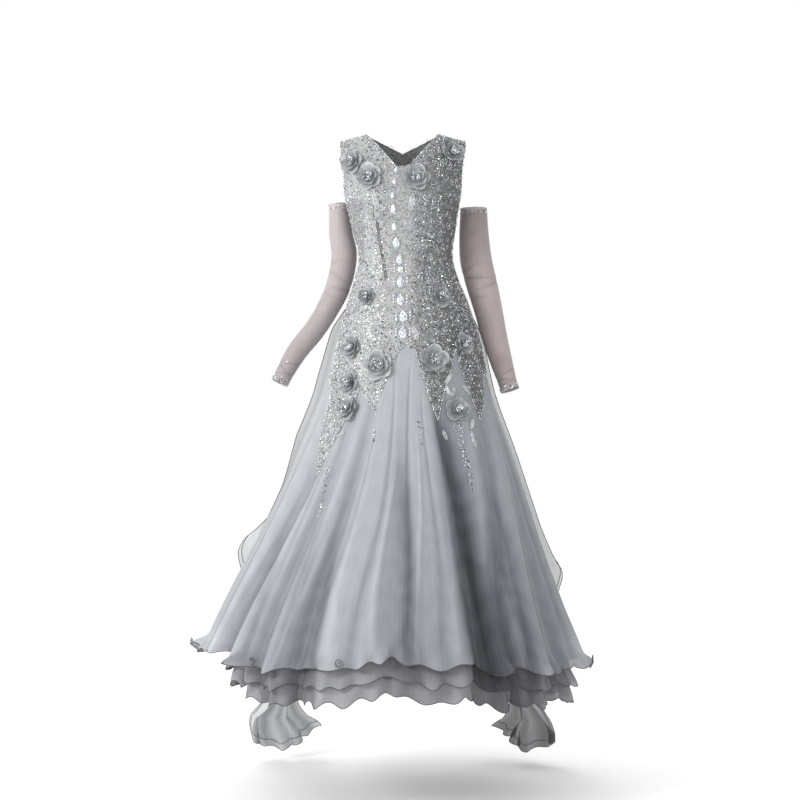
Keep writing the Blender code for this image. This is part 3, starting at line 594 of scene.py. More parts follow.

# Painted shade in the valleys that the photograph shows down the front: places in x and z, darkness, half width
# at the top and the hem on the left of the line, and on its right
VALLEYS = [
    (
        [
            (0.044, -0.571),
            (0.066, -0.645),
            (0.090, -0.753),
            (0.112, -0.848),
            (0.139, -0.988),
            (0.167, -1.095),
            (0.201, -1.250),
        ],
        1.0, (0.006, 0.014), (0.012, 0.060)
    ),
    (
        [(-0.012, -0.700), (0.002, -0.850), (0.010, -1.000), (0.016, -1.200)],
        0.62, (0.018, 0.034), (0.014, 0.030)
    ),
    ([(-0.252, -0.850), (-0.369, -1.230)], 0.32, (0.018, 0.026), (0.006, 0.010)),
    ([(-0.166, -0.850), (-0.291, -1.230)], 0.38, (0.016, 0.024), (0.006, 0.010)),
    ([(-0.142, -0.877), (-0.204, -1.230)], 0.40, (0.012, 0.018), (0.006, 0.010)),
    ([(0.173, -0.853), (0.293, -1.230)], 0.30, (0.006, 0.010), (0.014, 0.024)),
    ([(0.190, -0.800), (0.228, -0.930), (0.280, -1.180)], 0.52, (0.005, 0.008), (0.016, 0.030)),
]
VALLEY_GROWTH = 0.16
VALLEY_START = 0.7
# The streaks and the grain of the organza: how strong, and their scale on the cloth
STREAK = 0.25
GRAIN = 0.045
STREAK_SCALE = (300.0, 3.5, 1.0)
GRAIN_SCALE = (16.0, 4.0, 1.0)
# Size of the cloth map: metres to a radian round the dress and a sleeve, a sleeve's length, a float's width
SKIRT_CLOTH_RADIUS = 0.40
BODICE_CLOTH_RADIUS = 0.13
SLEEVE_CLOTH_RADIUS = 0.03
SLEEVE_CLOTH_LENGTH = 0.5
FLOAT_CLOTH_WIDTH = 0.4
# Tones of the organza from the painted shade of its deepest valley to a single layer
OUTER_TONES = [
    (0.0, (0.040, 0.042, 0.050)),
    (0.22, (0.110, 0.115, 0.130)),
    (0.50, (0.225, 0.236, 0.258)),
    (0.84, (0.350, 0.366, 0.388)),
    (1.0, (0.480, 0.492, 0.512)),
]
UNDER_TONES = [
    (0.0, (0.035, 0.035, 0.040)),
    (0.40, (0.130, 0.130, 0.142)),
    (0.84, (0.260, 0.262, 0.280)),
    (1.0, (0.340, 0.342, 0.360)),
]
FLOAT_TONES = [
    (0.0, (0.020, 0.019, 0.019)),
    (0.20, (0.085, 0.082, 0.083)),
    (0.34, (0.230, 0.236, 0.248)),
    (0.60, (0.395, 0.405, 0.420)),
    (1.0, (0.560, 0.570, 0.585)),
]

# A float is sheer above and thicker to the eye at its tail
FLOAT_VEIL = (0.56, 0.88)
# Painted light and shade of a float: its level on open cloth, and how much lighter and darker it turns across
# its waves
FLOAT_LIGHT = 0.62
FLOAT_WAVE_LIGHT = 0.26
TAIL_SHADE_Z = -1.28
TAIL_SHADE_REACH = 0.16
# Tones of the lace, the stones and the petals
LACE_TONES = [
    (0.35, (0.15, 0.155, 0.155)),
    (0.55, (0.34, 0.345, 0.345)),
    (0.85, (0.56, 0.56, 0.56)),
]
STONE_TONES = [
    (0.0, (0.06, 0.07, 0.07)),
    (0.22, (0.18, 0.19, 0.20)),
    (0.45, (0.50, 0.52, 0.54)),
    (0.80, (0.85, 0.87, 0.90)),
    (0.90, (0.95, 0.85, 0.93)),
    (1.0, (0.75, 0.95, 0.97)),
]
PETAL_TONES = [
    (0.20, (0.125, 0.136, 0.144)),
    (0.55, (0.250, 0.268, 0.278)),
    (0.85, (0.355, 0.374, 0.382)),
    (1.0, (0.500, 0.514, 0.522)),
]
MOTTLE = 0.5
# How light the lace is, its own tone with painted shade: by x on the front, darker to the right away from the
# light, on the back, and its share beside the waist
FRONT_TONE_AND_SHADE = [
    (-0.15, 0.66),
    (-0.10, 0.76),
    (-0.045, 0.68),
    (-0.030, 0.70),
    (0.010, 0.70),
    (0.030, 0.48),
    (0.090, 0.30),
    (0.14, 0.22),
]
BACK_TONE = 0.60
SIDE_TONE = 0.70
SIDE_PANEL_X = 0.094
SIDE_PANEL_Z = (-0.300, -0.150)
MIDDLE_X = (-0.044, 0.016)
MIDDLE_FOOT_Z = -0.42

# Camera and stage; lights are name, place, size and power
CAMERA_PLACE = (-0.0096, -4.5, -0.624)
CAMERA_LENS = 84.4
FLOOR_Z = -1.570
FLOOR_HALF = 30.0
LIGHTS = [
    ("key", (-3.6, -2.9, 0.9), 1.6, 150.0),
    ("rim", (-1.5, 3.5, 1.4), 2.0, 40.0),
]
LIGHT_AIM = (0.0, 0.0, -0.6)


def clear_scene():
    for item in list(bpy.data.objects):
        bpy.data.objects.remove(item, do_unlink=True)


def between(low, high, share):
    return low + (high - low) * share


def ease(share):
    share = np.clip(share, 0.0, 1.0)
    return share * share * (3.0 - 2.0 * share)


def signed_power(value, power):
    return np.sign(value) * np.abs(value) ** power


def unit(vectors):
    """Vectors made 1 long."""
    return vectors / np.maximum(np.linalg.norm(vectors, axis=-1, keepdims=True), 1e-12)


def table_value(table, at, column=1):
    """A column of a table, in straight steps between its rows."""
    rows = np.asarray(table)
    return np.interp(at, rows[:, 0], rows[:, column])


def varied(radius, count):
    """Radii a little larger and smaller than one radius."""
    return radius * (0.85 + 0.3 * RANDOM.random(count))


def turn_from(angle, other):
    """The smallest turn between angles, in degrees."""
    return (angle - other + 180.0) % 360.0 - 180.0


def smooth_row(table, at, column):
    """A column of a table on a smooth curve through its rows. The first column may rise or fall."""
    places = table[:, 0]
    values = table[:, column]
    if places[0] > places[-1]:
        places = -places
        at = -np.asarray(at, float)
    at = np.clip(np.asarray(at, float), places[0], places[-1])
    last = len(places) - 1
    before = np.maximum(np.arange(last + 1) - 1, 0)
    after = np.minimum(np.arange(last + 1) + 1, last)
    slopes = (values[after] - values[before]) / (places[after] - places[before])
    here = np.clip(np.searchsorted(places, at, side="right") - 1, 0, last - 1)
    span = places[here + 1] - places[here]
    t = (at - places[here]) / span
    a = 2 * t**3 - 3 * t**2 + 1
    b = t**3 - 2 * t**2 + t
    c = 3 * t**2 - 2 * t**3
    d = t**3 - t**2
    return a * values[here] + b * span * slopes[here] + c * values[here + 1] + d * span * slopes[here + 1]


def section(z, column):
    return smooth_row(SECTIONS, z, column)


def cup(angle, z):
    side = (np.abs(turn_from(angle, 0.0)) - CUP_ANGLE) / CUP_SPREAD
    rise = (z - CUP_Z) / CUP_HEIGHT
    return CUP_DEPTH * np.exp(-side * side - rise * rise)


def fold(hem, z):
    """How far the folds bring the skirt in."""
    grown = np.maximum(0.0, (FOLD_START_Z - z) / (FOLD_START_Z - HEM_Z)) ** FOLD_POWER
    depth = 0.0
    for angle, deep, half_width in FOLDS:
        off = turn_from(hem, angle) / half_width
        depth = depth + deep * np.exp(-off * off)
    return depth * grown


def crease(hem, z):
    """How far the small creases bring the skirt in."""
    depth = 0.0
    for angle, deep, half_width, start in CREASES:
        grown = np.clip((start - z) / (start - HEM_Z), 0.0, CREASE_LIMIT)
        sway = CREASE_SWAY * np.sin(CREASE_BENDS * z + angle)
        off = turn_from(hem, angle + sway) / (half_width * (0.7 + 0.6 * grown))
        depth = depth + deep * np.exp(-off * off) * np.sqrt(grown)
    return depth


def envelope(angle, z, out=0.0):
    """Points of the dress without folds."""
    turn = np.radians(angle)
    power = section(z, 5)
    depth = np.where(np.cos(turn) > 0, section(z, 2), section(z, 3))
    x = section(z, 4) + (section(z, 1) + out) * signed_power(np.sin(turn), power)
    y = -(depth + out + cup(angle, z)) * signed_power(np.cos(turn), power)
    return np.stack(np.broadcast_arrays(x, y, z), axis=-1)


def surface(hem, hip, z, out=0.0, folds=1.0, creases=0.0):
    """Points of the dress from the underarm to the hem."""
    angle = between(hip, hem, ease((HIP_Z - z) / (HIP_Z - HEM_Z)))
    return envelope(angle, z, out - folds * fold(hem, z) - creases * crease(hem, z))


def line_values(hem, column):
    return np.interp(hem, LINES[:, 0], LINES[:, column])


def hem_height(hem):
    """Height of the outer hem, its corners softened."""
    total = 0.0
    steps = np.linspace(-1.0, 1.0, 9)
    for step in steps:
        total = total + np.interp(turn_from(hem + step * HEM_SOFTNESS, 0.0), OUTER_HEM[:, 0], OUTER_HEM[:, 1])
    return total / len(steps)


def columns(first, last, step):
    """Angles at the hem from one seam to the next, with every line of the dress among them."""
    stops = [first] + [a for a in LINES[:, 0] if first < a < last] + [last]
    parts = []
    for low, high in zip(stops, stops[1:]):
        count = max(1, round((high - low) / step))
        parts.append(np.linspace(low, high, count, endpoint=False))
    return np.concatenate(parts + [np.array([last])])


def hem_wave(hem, waves):
    """How far a waved hem moves up and out. The waves are uneven, and meet at the back."""
    width, rise, out, _, start = waves
    turns = round(360.0 / width)
    phase = np.radians(hem) * turns + start
    for strong, bends, ahead in WAVE_SWAYS:
        phase = phase + strong * np.sin(np.radians(hem) * bends + ahead * start)
    strength = 0.75 + 0.35 * np.sin(np.radians(hem) * 7 + 3 * start)
    wave = np.sin(phase)
    side = np.cos(phase + 0.5)
    return rise * wave * strength, out * (0.5 + 0.5 * side) * strength


def make_material(name, colour, roughness):
    material = bpy.data.materials.new(name)
    material.use_nodes = True
    shader = material.node_tree.nodes["Principled BSDF"]
    shader.inputs["Base Color"].default_value = (*colour, 1.0)
    shader.inputs["Roughness"].default_value = roughness
    return material, material.node_tree, shader


def set_inputs(tree, node, **values):
    """Gives inputs of a node a value, or the output of another node. An underscore stands for a space."""
    for name, value in values.items():
        socket = node.inputs[name.replace("_", " ")]
        if isinstance(value, bpy.types.NodeSocket):
            tree.links.new(value, socket)
        else:
            socket.default_value = value


def add_node(tree, kind, settings=None, **values):
    """A shader node with its settings and its inputs."""
    node = tree.nodes.new(kind)
    for name, value in (settings or {}).items():
        setattr(node, name, value)
    set_inputs(tree, node, **values)
    return node


def cloth_map(tree):
    return add_node(tree, "ShaderNodeUVMap", {"uv_map": "cloth"}).outputs["UV"]


def attribute(tree, name):
    return add_node(tree, "ShaderNodeAttribute", {"attribute_name": name}).outputs["Fac"]


def cell_edges(tree, cloth, scale):
    """How far each place on the cloth is from the edge of its cell."""
    cells = add_node(
        tree, "ShaderNodeTexVoronoi", {"feature": "DISTANCE_TO_EDGE"}, Vector=cloth, Scale=scale
    )
    return cells.outputs["Distance"]


def maths(tree, operation, *values):
    """The result of a sum of numbers and outputs."""
    node = add_node(tree, "ShaderNodeMath", {"operation": operation})
    for socket, value in zip(node.inputs, values):
        if isinstance(value, bpy.types.NodeSocket):
            tree.links.new(value, socket)
        else:
            socket.default_value = value
    return node.outputs[0]


def bump(tree, height, strength, distance):
    node = add_node(tree, "ShaderNodeBump", Height=height, Strength=strength, Distance=distance)
    return node.outputs["Normal"]


def ramp(tree, source, stops):
    """The colour on a ramp of places and colours."""
    node = add_node(tree, "ShaderNodeValToRGB", Fac=source)
    elements = node.color_ramp.elements
    while len(elements) < len(stops):
        elements.new(0.5)
    for element, (place, colour) in zip(elements, stops):
        element.position = place
        element.color = (*colour, 1.0)
    return node.outputs["Color"]


def grid_faces(rows, count, closed=False, start=0):
    """Faces between the points of a grid."""
    number = np.arange(rows * count).reshape(rows, count) + start
    following = np.roll(number, -1, axis=1) if closed else number[:, 1:]
    number = number if closed else number[:, :-1]
    return np.stack([number[:-1], number[1:], following[1:], following[:-1]], axis=-1).reshape(-1, 4)


def new_mesh(name, vertices, faces, smooth=True):
    mesh = bpy.data.meshes.new(name)
    mesh.from_pydata(vertices, [], faces)
    if smooth:
        mesh.shade_smooth()
    return mesh


def grid_mesh(name, points, cloth, shade, closed=False):
    """A mesh over rows and columns of points, each with its place on the cloth and its shade."""
    mesh = new_mesh(name, points.reshape(-1, 3).tolist(), grid_faces(*points.shape[:2], closed).tolist())
    add_cloth_map(mesh, cloth.reshape(-1, 2))
    add_value(mesh, "shade", shade.reshape(-1))
    return mesh


def add_cloth_map(mesh, cloth):
    layer = mesh.uv_layers.new(name="cloth")
    corners = np.empty(len(mesh.loops), dtype=np.int32)
    mesh.loops.foreach_get("vertex_index", corners)
    layer.data.foreach_set("uv", cloth[corners].astype(np.float32).ravel())


def add_value(mesh, name, values):
    layer = mesh.attributes.new(name, "FLOAT", "POINT")
    layer.data.foreach_set("value", np.asarray(values, dtype=np.float32))


def place_piece(name, mesh, material, node=None):
    """Puts a piece into the scene, riding on the dress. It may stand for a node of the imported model."""
    mesh.materials.append(material)
    piece = bpy.data.objects.new(name, mesh)
    bpy.context.scene.collection.objects.link(piece)
    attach(piece, "root")
    if node:
        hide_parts(node)


def join_meshes(name, parts, smooth=True):
    """One mesh of several lists of points and faces; each face is a list of numbers."""
    vertices = []
    faces = []
    for points, sides in parts:
        start = len(vertices)
        vertices.extend(np.asarray(points).tolist())
        faces.extend([start + i for i in side] for side in sides)
    return new_mesh(name, vertices, faces, smooth)


def tube(path, radius, sides=5, closed=True):
    """Points and faces of a cord along a path."""
    path = np.asarray(path, float)
    if closed:
        ahead = unit(np.roll(path, -1, axis=0) - np.roll(path, 1, axis=0))
    else:
        ahead = unit(np.gradient(path, axis=0))
    guide = np.where(np.abs(ahead[:, 2:3]) < 0.9, (0.0, 0.0, 1.0), (0.0, 1.0, 0.0))
    side = unit(np.cross(ahead, guide))
    up = np.cross(side, ahead)
    turns = np.arange(sides) * 2 * math.pi / sides
    ring = side[:, None] * np.cos(turns)[None, :, None] + up[:, None] * np.sin(turns)[None, :, None]
    points = (path[:, None] + ring * radius).reshape(-1, 3)
    faces = []
    count = len(path)
    for i in range(count if closed else count - 1):
        j = (i + 1) % count
        for k in range(sides):
            m = (k + 1) % sides
            faces.append([i * sides + k, i * sides + m, j * sides + m, j * sides + k])
    return points, faces


def under_tuck(hem, z):
    """How far the under layers draw in from the outer skirt."""
    share = np.maximum(0.0, (UNDER_TUCK_Z - z) / (UNDER_TUCK_Z - HEM_Z))
    return table_value(UNDER_TUCK, turn_from(hem, 0.0)) * share**1.5


def valley_shade(place):
    """How much light is left under the painted shade of the front: darker to its right, and in the painted
    valleys.
    """
    x, z = place[..., 0], place[..., 2]
    light = table_value(FRONT_PAINTED_LIGHT, x)
    for points, dark, left, right in VALLEYS:
        line = np.array(points)
        down = np.clip((line[0, 1] - z) / (line[0, 1] - line[-1, 1]), 0.0, 1.0)
        off = x - np.interp(-z, -line[:, 1], line[:, 0])
        reach = np.where(off < 0.0, between(*left, down), between(*right, down))
        grown = ease((line[0, 1] - z) / VALLEY_GROWTH) * between(VALLEY_START, 1.0, down)
        light = light * (1.0 - dark * grown * np.exp(-(off / reach) ** 2))
    return np.where(place[..., 1] < 0.0, light, 1.0)


def skirt_layer(hem, top, foot, out, rows, waves, under=False):
    """Points of a layer of the skirt between its top and its waved hem, with its cloth map and shade: painted
    shade in its folds, creases and valleys, lighter at the hem's corners where one layer shows alone.
    """
    folds, creases, spirals = (UNDER_FOLDS, UNDER_CREASES, ()) if under else (1.0, 1.0, HEM_SPIRALS)
    share = np.asarray(rows)[:, None]
    z = between(top, foot, share)
    away = out(share) - (under_tuck(hem[None], z) if under else 0.0)
    place = surface(hem[None], line_values(hem, 1)[None], z, away, folds, creases)
    rise, away = hem_wave(hem, waves)
    curl = ease((share - (1.0 - waves[3])) / waves[3]) ** CURL_POWER
    turn = np.radians(hem)
    flat = np.stack([np.sin(turn), -np.cos(turn), np.zeros_like(turn)], axis=-1)
    sway = np.stack([np.cos(turn), np.sin(turn), np.zeros_like(turn)], axis=-1)
    place = place + flat[None] * (away[None, :, None] * curl[..., None])
    place[..., 2] += rise * curl
    for angle, half_width, reach in spirals:
        along = (hem - angle) / half_width
        near = np.exp(-along * along)
        place = place + flat[None] * (near * reach)[None, :, None] * curl[..., None]
        place = place - sway[None] * (near * along * reach * SPIRAL_SWAY)[None, :, None] * curl[..., None]
        place[..., 2] += near * SPIRAL_RISE * curl
    cloth = np.stack(np.broadcast_arrays(turn[None] * SKIRT_CLOTH_RADIUS, z), axis=-1)
    # Painted shade: darker in the folds and creases, and in the painted valleys of the front
    deep = FOLD_SHADE * fold(hem[None], z) + CREASE_SHADE * creases * crease(hem[None], z)
    shade = SHADE_TOP * np.exp(-np.maximum(deep, 0.0) / SHADE_DEPTH) * valley_shade(place)
    for angle, half_width in SHEER_CORNERS:
        near = np.exp(-(turn_from(hem, angle) / half_width) ** 2)
        shade = shade + (1.0 - SHADE_TOP) * near[None] * ease((share - SHEER_START) / SHEER_REACH)
    return place, cloth, np.clip(shade, 0.0, 1.0)


def rows_to(start_fine, coarse, fine):
    """Shares of a height: evenly spaced rows, then finer ones for the hem."""
    above = np.linspace(0.0, start_fine, coarse, endpoint=False)
    return np.concatenate([above, np.linspace(start_fine, 1.0, fine)])


def organza_material(name, tones, alpha=None):
    """Organza from the painted shade of its deepest valley to a single layer: streaks down the cloth, and a
    faint grain.

    Without an alpha the cloth takes the veil that its mesh keeps.
    """
    material, tree, shader = make_material(name, tones[-1][1], 0.55)
    cloth = cloth_map(tree)
    long = add_node(tree, "ShaderNodeMapping", Vector=cloth, Scale=STREAK_SCALE).outputs["Vector"]
    streaks = add_node(tree, "ShaderNodeTexNoise", Vector=long, Scale=1.0, Detail=4.0, Roughness=0.62)
    wide = add_node(tree, "ShaderNodeMapping", Vector=cloth, Scale=GRAIN_SCALE).outputs["Vector"]
    grain = add_node(
        tree, "ShaderNodeTexWave", {"wave_type": "RINGS"},
        Vector=wide, Scale=1.1, Distortion=9.0, Detail=2.0, Detail_Scale=1.2
    )
    level = maths(tree, "MULTIPLY_ADD", streaks.outputs["Fac"], STREAK, attribute(tree, "shade"))
    level = maths(tree, "MULTIPLY_ADD", grain.outputs["Fac"], GRAIN, level)
    level = maths(tree, "SUBTRACT", level, (STREAK + GRAIN) / 2)
    set_inputs(
        tree, shader, Base_Color=ramp(tree, level, tones), Alpha=alpha or attribute(tree, "veil"),
        Sheen_Weight=0.12, Sheen_Roughness=0.4, Specular_IOR_Level=0.25
    )
    return material


def make_skirt(finish):
    """The seven outer gores. Returns their meshes and the line of the hem."""
    meshes = []
    hems = []

    def out(share):
        return GORE_LIFT * (1 - ease(share / GORE_LIFT_SHARE))

    for name, first, last in GORES:
        hem = columns(first, last, OUTER_STEP)
        top = line_values(hem, 2) + GORE_TUCK
        place, cloth, shade = skirt_layer(hem, top, hem_height(hem), out, rows_to(*OUTER_ROWS), OUTER_WAVES)
        mesh = grid_mesh(name, place, cloth, shade)
        place_piece(f"look_{name}", mesh, finish, name)
        meshes.append(mesh)
        hems.append(place[-1])
    return meshes, np.concatenate([hem[:-1] for hem in hems])


def spiral_cords(hem_line):
    """The corded edge where it rolls up: a small spiral on the hem at each of the curls."""
    paths = []
    turns = np.degrees(np.arctan2(hem_line[:, 0], -hem_line[:, 1]))
    share = np.linspace(0.0, 1.0, SPIRAL_POINTS)[:, None]
    turn = 2 * math.pi * SPIRAL_TURNS * share
    radius = SPIRAL_RADIUS * (1.0 - SPIRAL_TAPER * share)
    up = np.array([0.0, 0.0, 1.0])
    for angle, _, _ in HEM_SPIRALS:
        spot = hem_line[np.argmin(np.abs(turn_from(turns, angle)))]
        away = unit(spot * LEVEL)
        side = np.array([-away[1], away[0], 0.0])
        centre = spot + away * SPIRAL_OUT + up * SPIRAL_RADIUS
        paths.append(centre + side * radius * np.sin(turn) - up * radius * np.cos(turn))
    return paths


def make_under_layers(finish):
    """The underskirt and its frill. Returns their hems."""
    hem = columns(-180.0, 180.0, UNDER_STEP)[:-1]
    foot = hem_height(hem) - UNDER_DROP
    frill_top = between(HIP_ROW_Z, foot, FRILL_TOP_SHARE)
    frill_rows = np.linspace(0.0, 1.0, FRILL_ROWS)

    def under_out(share):
        return -between(UNDER_TOP_INSIDE, UNDER_INSIDE, ease(share / UNDER_TOP_REACH))

    def frill_out(share):
        return -UNDER_INSIDE - FRILL_INSIDE * ease(share / FRILL_REACH) - FRILL_GAP

    hems = []
    for name, top, low, out, rows, waves in (
        ("underskirt", HIP_ROW_Z, foot, under_out, rows_to(*UNDER_ROWS), UNDER_WAVES),
        ("underskirt_frill", frill_top, hem_height(hem) - FRILL_DROP, frill_out, frill_rows, FRILL_WAVES),
    ):
        place, cloth, shade = skirt_layer(hem, top, low, out, rows, waves, True)
        place_piece(f"look_{name}", grid_mesh(name, place, cloth, shade, True), finish, name)
        hems.append(place[-1])
    return hems


def upper_row(rise, column):
    return float(smooth_row(UPPER_LEVELS, rise, column))


def shoulder_height(x):
    return SHOULDER_Z - SHOULDER_SLOPE * max(0.0, abs(x) - NECK_HALF_WIDTH)


def neck_angle(rise, neck_rise, centre_angle):
    """The angle of the neck's edge at a level of the bodice."""
    half_width = upper_row(rise, 1)
    power = SECTIONS[0, 5]
    low = math.sin(math.radians(90 * neck_rise))
    share = (math.sin(math.radians(90 * rise)) - low) / (1.0 - low)
    start = half_width * abs(math.sin(math.radians(centre_angle))) ** power
    x = between(start, NECK_HALF_WIDTH, share)
    return math.degrees(math.asin((x / half_width) ** (1 / power)))


def upper_point(angle, rise, back):
    """A point of the bodice above the underarm."""
    power = SECTIONS[0, 5]
    turn = math.radians(angle)
    lift = math.radians(90.0 * rise)
    across = upper_row(rise, 1) * float(signed_power(math.sin(turn), power))
    height = between(UNDERARM_Z, shoulder_height(across), math.sin(lift))
    if back:
        deep = SECTIONS[0, 3]
    else:
        deep = -SECTIONS[0, 2] - float(cup(angle, height)) / max(math.cos(lift), 0.3)
    y = deep * abs(math.cos(turn)) ** power * math.cos(lift)
    return (SECTIONS[0, 4] + across, y, height)


def upper_angle(hip, rise, back, half):
    """The angle of a column at a level; half is the side of the middle that it belongs to."""
    middle = 0.0 if back else MIDDLE_ANGLE
    if back:
        neck_rise, start = BACK_NECK_RISE, 0.5
        angle = 180.0 - abs(hip)
    else:
        neck_rise, start = V_RISE, V_ANGLE
        angle = abs(hip - middle)
    full = 90.0 - (0.0 if back else half * middle)
    share = min(angle / full, 1.0)
    armhole = half * upper_row(rise, 2)
    if rise <= neck_rise:
        inner = between(middle, 0.0 if back else -V_ANGLE, rise / neck_rise)
    else:
        inner = half * neck_angle(rise, neck_rise, start)
    return between(inner, armhole, share)


def make_bodice(finish):
    """The five panels of the bodice. Returns their meshes and the lines of their free edges."""
    meshes = []
    edges = []
    rises = np.concatenate([np.linspace(1.0, V_RISE, NECK_ROWS), np.linspace(V_RISE, 0.0, CHEST_ROWS)[1:]])
    for name, first, last in BODICE_PANELS:
        back = "back" in name
        centre = name == "bodice_front_centre"
        hem = columns(first, last, BODICE_STEP)
        hip = line_values(hem, 1)
        around = np.radians(hip) * BODICE_CLOTH_RADIUS
        z = between(UNDERARM_Z, line_values(hem, 2), np.linspace(0.0, 1.0, BODICE_ROWS)[:, None])
        lower = surface(hem[None], hip[None], z)
        parts = [lower]
        clothes = [np.stack(np.broadcast_arrays(around[None], z), axis=-1)]
        for half in (-1, 1) if centre else (-1 if last <= 0.0 else 1,):
            kept = half * (hip - MIDDLE_ANGLE) >= -TINY if centre else np.ones_like(hip, bool)
            upper = np.array([
                [upper_point(upper_angle(angle, rise, back, half), rise, back) for angle in hip[kept]]
                for rise in rises
            ])
            inner, outer = (-1, 0) if half < 0 else (0, -1)
            if centre or back:
                edges.append(upper[:NECK_ROWS, inner])
            if not centre:
                edges.append(upper[:, outer])
            parts.append(upper)
            clothes.append(np.stack([np.broadcast_to(around[kept], upper.shape[:2]), upper[..., 2]], -1))
        edges.append(lower[-1])
        mesh = merge_grids(name, parts, clothes)
        add_value(mesh, "shade", bodice_tone_and_shade(vertex_places(mesh)))
        place_piece(f"look_{name}", mesh, finish, name)
        meshes.append(mesh)
    return meshes, edges


def bodice_tone_and_shade(places):
    """How light the lace is: palest down the middle of the front, darker to its right with painted shade, plain
    and darker beside the armholes.
    """
    tone = np.where(places[:, 1] < 0.0, table_value(FRONT_TONE_AND_SHADE, places[:, 0]), BACK_TONE)
    return tone * np.where(in_side_panel(places), SIDE_TONE, 1.0)


def in_side_panel(places):
    """The part of the bodice beside the waist, where the stones are sparse."""
    low, high = SIDE_PANEL_Z
    return (np.abs(places[:, 0]) > SIDE_PANEL_X) & (places[:, 2] > low) & (places[:, 2] < high)


def in_motif(places):
    """Lace motifs: 1 where they are thick with stones, 0 on the plainer net between them."""
    x, z = places[:, 0], places[:, 2]
    wave = np.sin(95.0 * x + 1.7 * np.sin(60.0 * z)) * np.sin(72.0 * z + 1.9 * np.sin(70.0 * x + 1.0))
    lower = np.interp(z, [-0.50, -0.30], [0.35, 0.0])
    return ease(0.55 + 0.9 * wave + lower)


def in_middle(places):
    """The narrow middle of the front, with finer stones."""
    low, high = MIDDLE_X
    x, y, z = places[:, 0], places[:, 1], places[:, 2]
    return (x > low) & (x < high) & (y < 0.0) & (z > MIDDLE_FOOT_Z)


def merge_grids(name, parts, clothes):
    """One mesh of several grids, joined where their edges meet."""
    vertices = []
    cloth = []
    faces = []
    for points, places in zip(parts, clothes):
        faces += grid_faces(*points.shape[:2], start=len(vertices)).tolist()
        vertices += points.reshape(-1, 3).tolist()
        cloth += places.reshape(-1, 2).tolist()
    keys = {}
    order = []
    kept = []
    kept_cloth = []
    for vertex, place in zip(vertices, cloth):
        key = tuple(round(v * JOIN_STEPS) for v in vertex)
        if key not in keys:
            keys[key] = len(kept)
            kept.append(vertex)
            kept_cloth.append(place)
        order.append(keys[key])
    # Corners that have become one are dropped from a face, and a face that is left with two is dropped
    sides = [list(dict.fromkeys(order[i] for i in face)) for face in faces]
    mesh = new_mesh(name, kept, [side for side in sides if len(side) > 2])
    add_cloth_map(mesh, np.array(kept_cloth))
    return mesh


def bodice_material():
    """Beaded lace: a fine grey ground with paler cords."""
    material, tree, shader = make_material("bodice_lace", (0.35, 0.37, 0.40), 0.5)
    cloth = cloth_map(tree)
    swirl = add_node(tree, "ShaderNodeTexNoise", Vector=cloth, Scale=60.0, Detail=4.0, Distortion=2.0)
    level = maths(tree, "MULTIPLY_ADD", cell_edges(tree, cloth, 170.0), 2.2, swirl.outputs["Fac"])
    toned = add_node(
        tree, "ShaderNodeVectorMath", {"operation": "SCALE"},
        Vector=ramp(tree, level, LACE_TONES), Scale=attribute(tree, "shade")
    )
    set_inputs(tree, shader, Base_Color=toned.outputs["Vector"], Normal=bump(tree, level, 0.5, 0.001))
    return material


def vertex_places(mesh):
    places = np.empty(len(mesh.vertices) * 3, dtype=np.float32)
    mesh.vertices.foreach_get("co", places)
    return places.reshape(-1, 3).astype(float)


def mesh_arrays(meshes):
    """Corners of the triangles of some meshes."""
    triangles = []
    for mesh in meshes:
        mesh.calc_loop_triangles()
        numbers = np.empty(len(mesh.loop_triangles) * 3, dtype=np.int32)
        mesh.loop_triangles.foreach_get("vertices", numbers)
        triangles.append(vertex_places(mesh)[numbers.reshape(-1, 3)])
    return np.concatenate(triangles)


def scatter(triangles, count, spacing, keep=None):
    """Places and directions out on some triangles, at least a spacing apart."""
    first, second, third = (triangles[:, i] for i in range(3))
    cross = np.cross(second - first, third - first)
    double = np.linalg.norm(cross, axis=1)
    picked = RANDOM.choice(len(triangles), size=count, p=double / double.sum())
    a, b = RANDOM.random(count), RANDOM.random(count)
    flip = a + b > 1
    a[flip], b[flip] = 1 - a[flip], 1 - b[flip]
    places = (
        first[picked] + a[:, None] * (second - first)[picked] + b[:, None] * (third - first)[picked]
    )
    normals = unit(cross[picked])
    if keep is not None:
        kept = RANDOM.random(count) < keep(places)
        places, normals = places[kept], normals[kept]
    cells = {}
    chosen = []
    for i, place in enumerate(places.tolist()):
        x, y, z = (math.floor(v / spacing) for v in place)
        near = (
            other for dx, dy, dz in NEIGHBOURS for other in cells.get((x + dx, y + dy, z + dz), ())
        )
        if all(math.dist(place, other) >= spacing for other in near):
            cells.setdefault((x, y, z), []).append(place)
            chosen.append(i)
    return places[chosen], normals[chosen]


def gem_shape(sides):
    """A cut stone of radius 1: a wide girdle, a smaller flat top."""
    turns = np.arange(sides) * 2 * math.pi / sides
    low = np.stack([np.cos(turns), np.sin(turns), np.zeros(sides)], -1)
    turns = turns + math.pi / sides
    high = np.stack([GEM_TOP * np.cos(turns), GEM_TOP * np.sin(turns), np.full(sides, GEM_HEIGHT)], -1)
    faces = []
    for i in range(sides):
        j = (i + 1) % sides
        faces.append([i, j, sides + i])
        faces.append([j, sides + j, sides + i])
    faces.append([sides + i for i in range(sides)])
    return np.concatenate([low, high]), faces


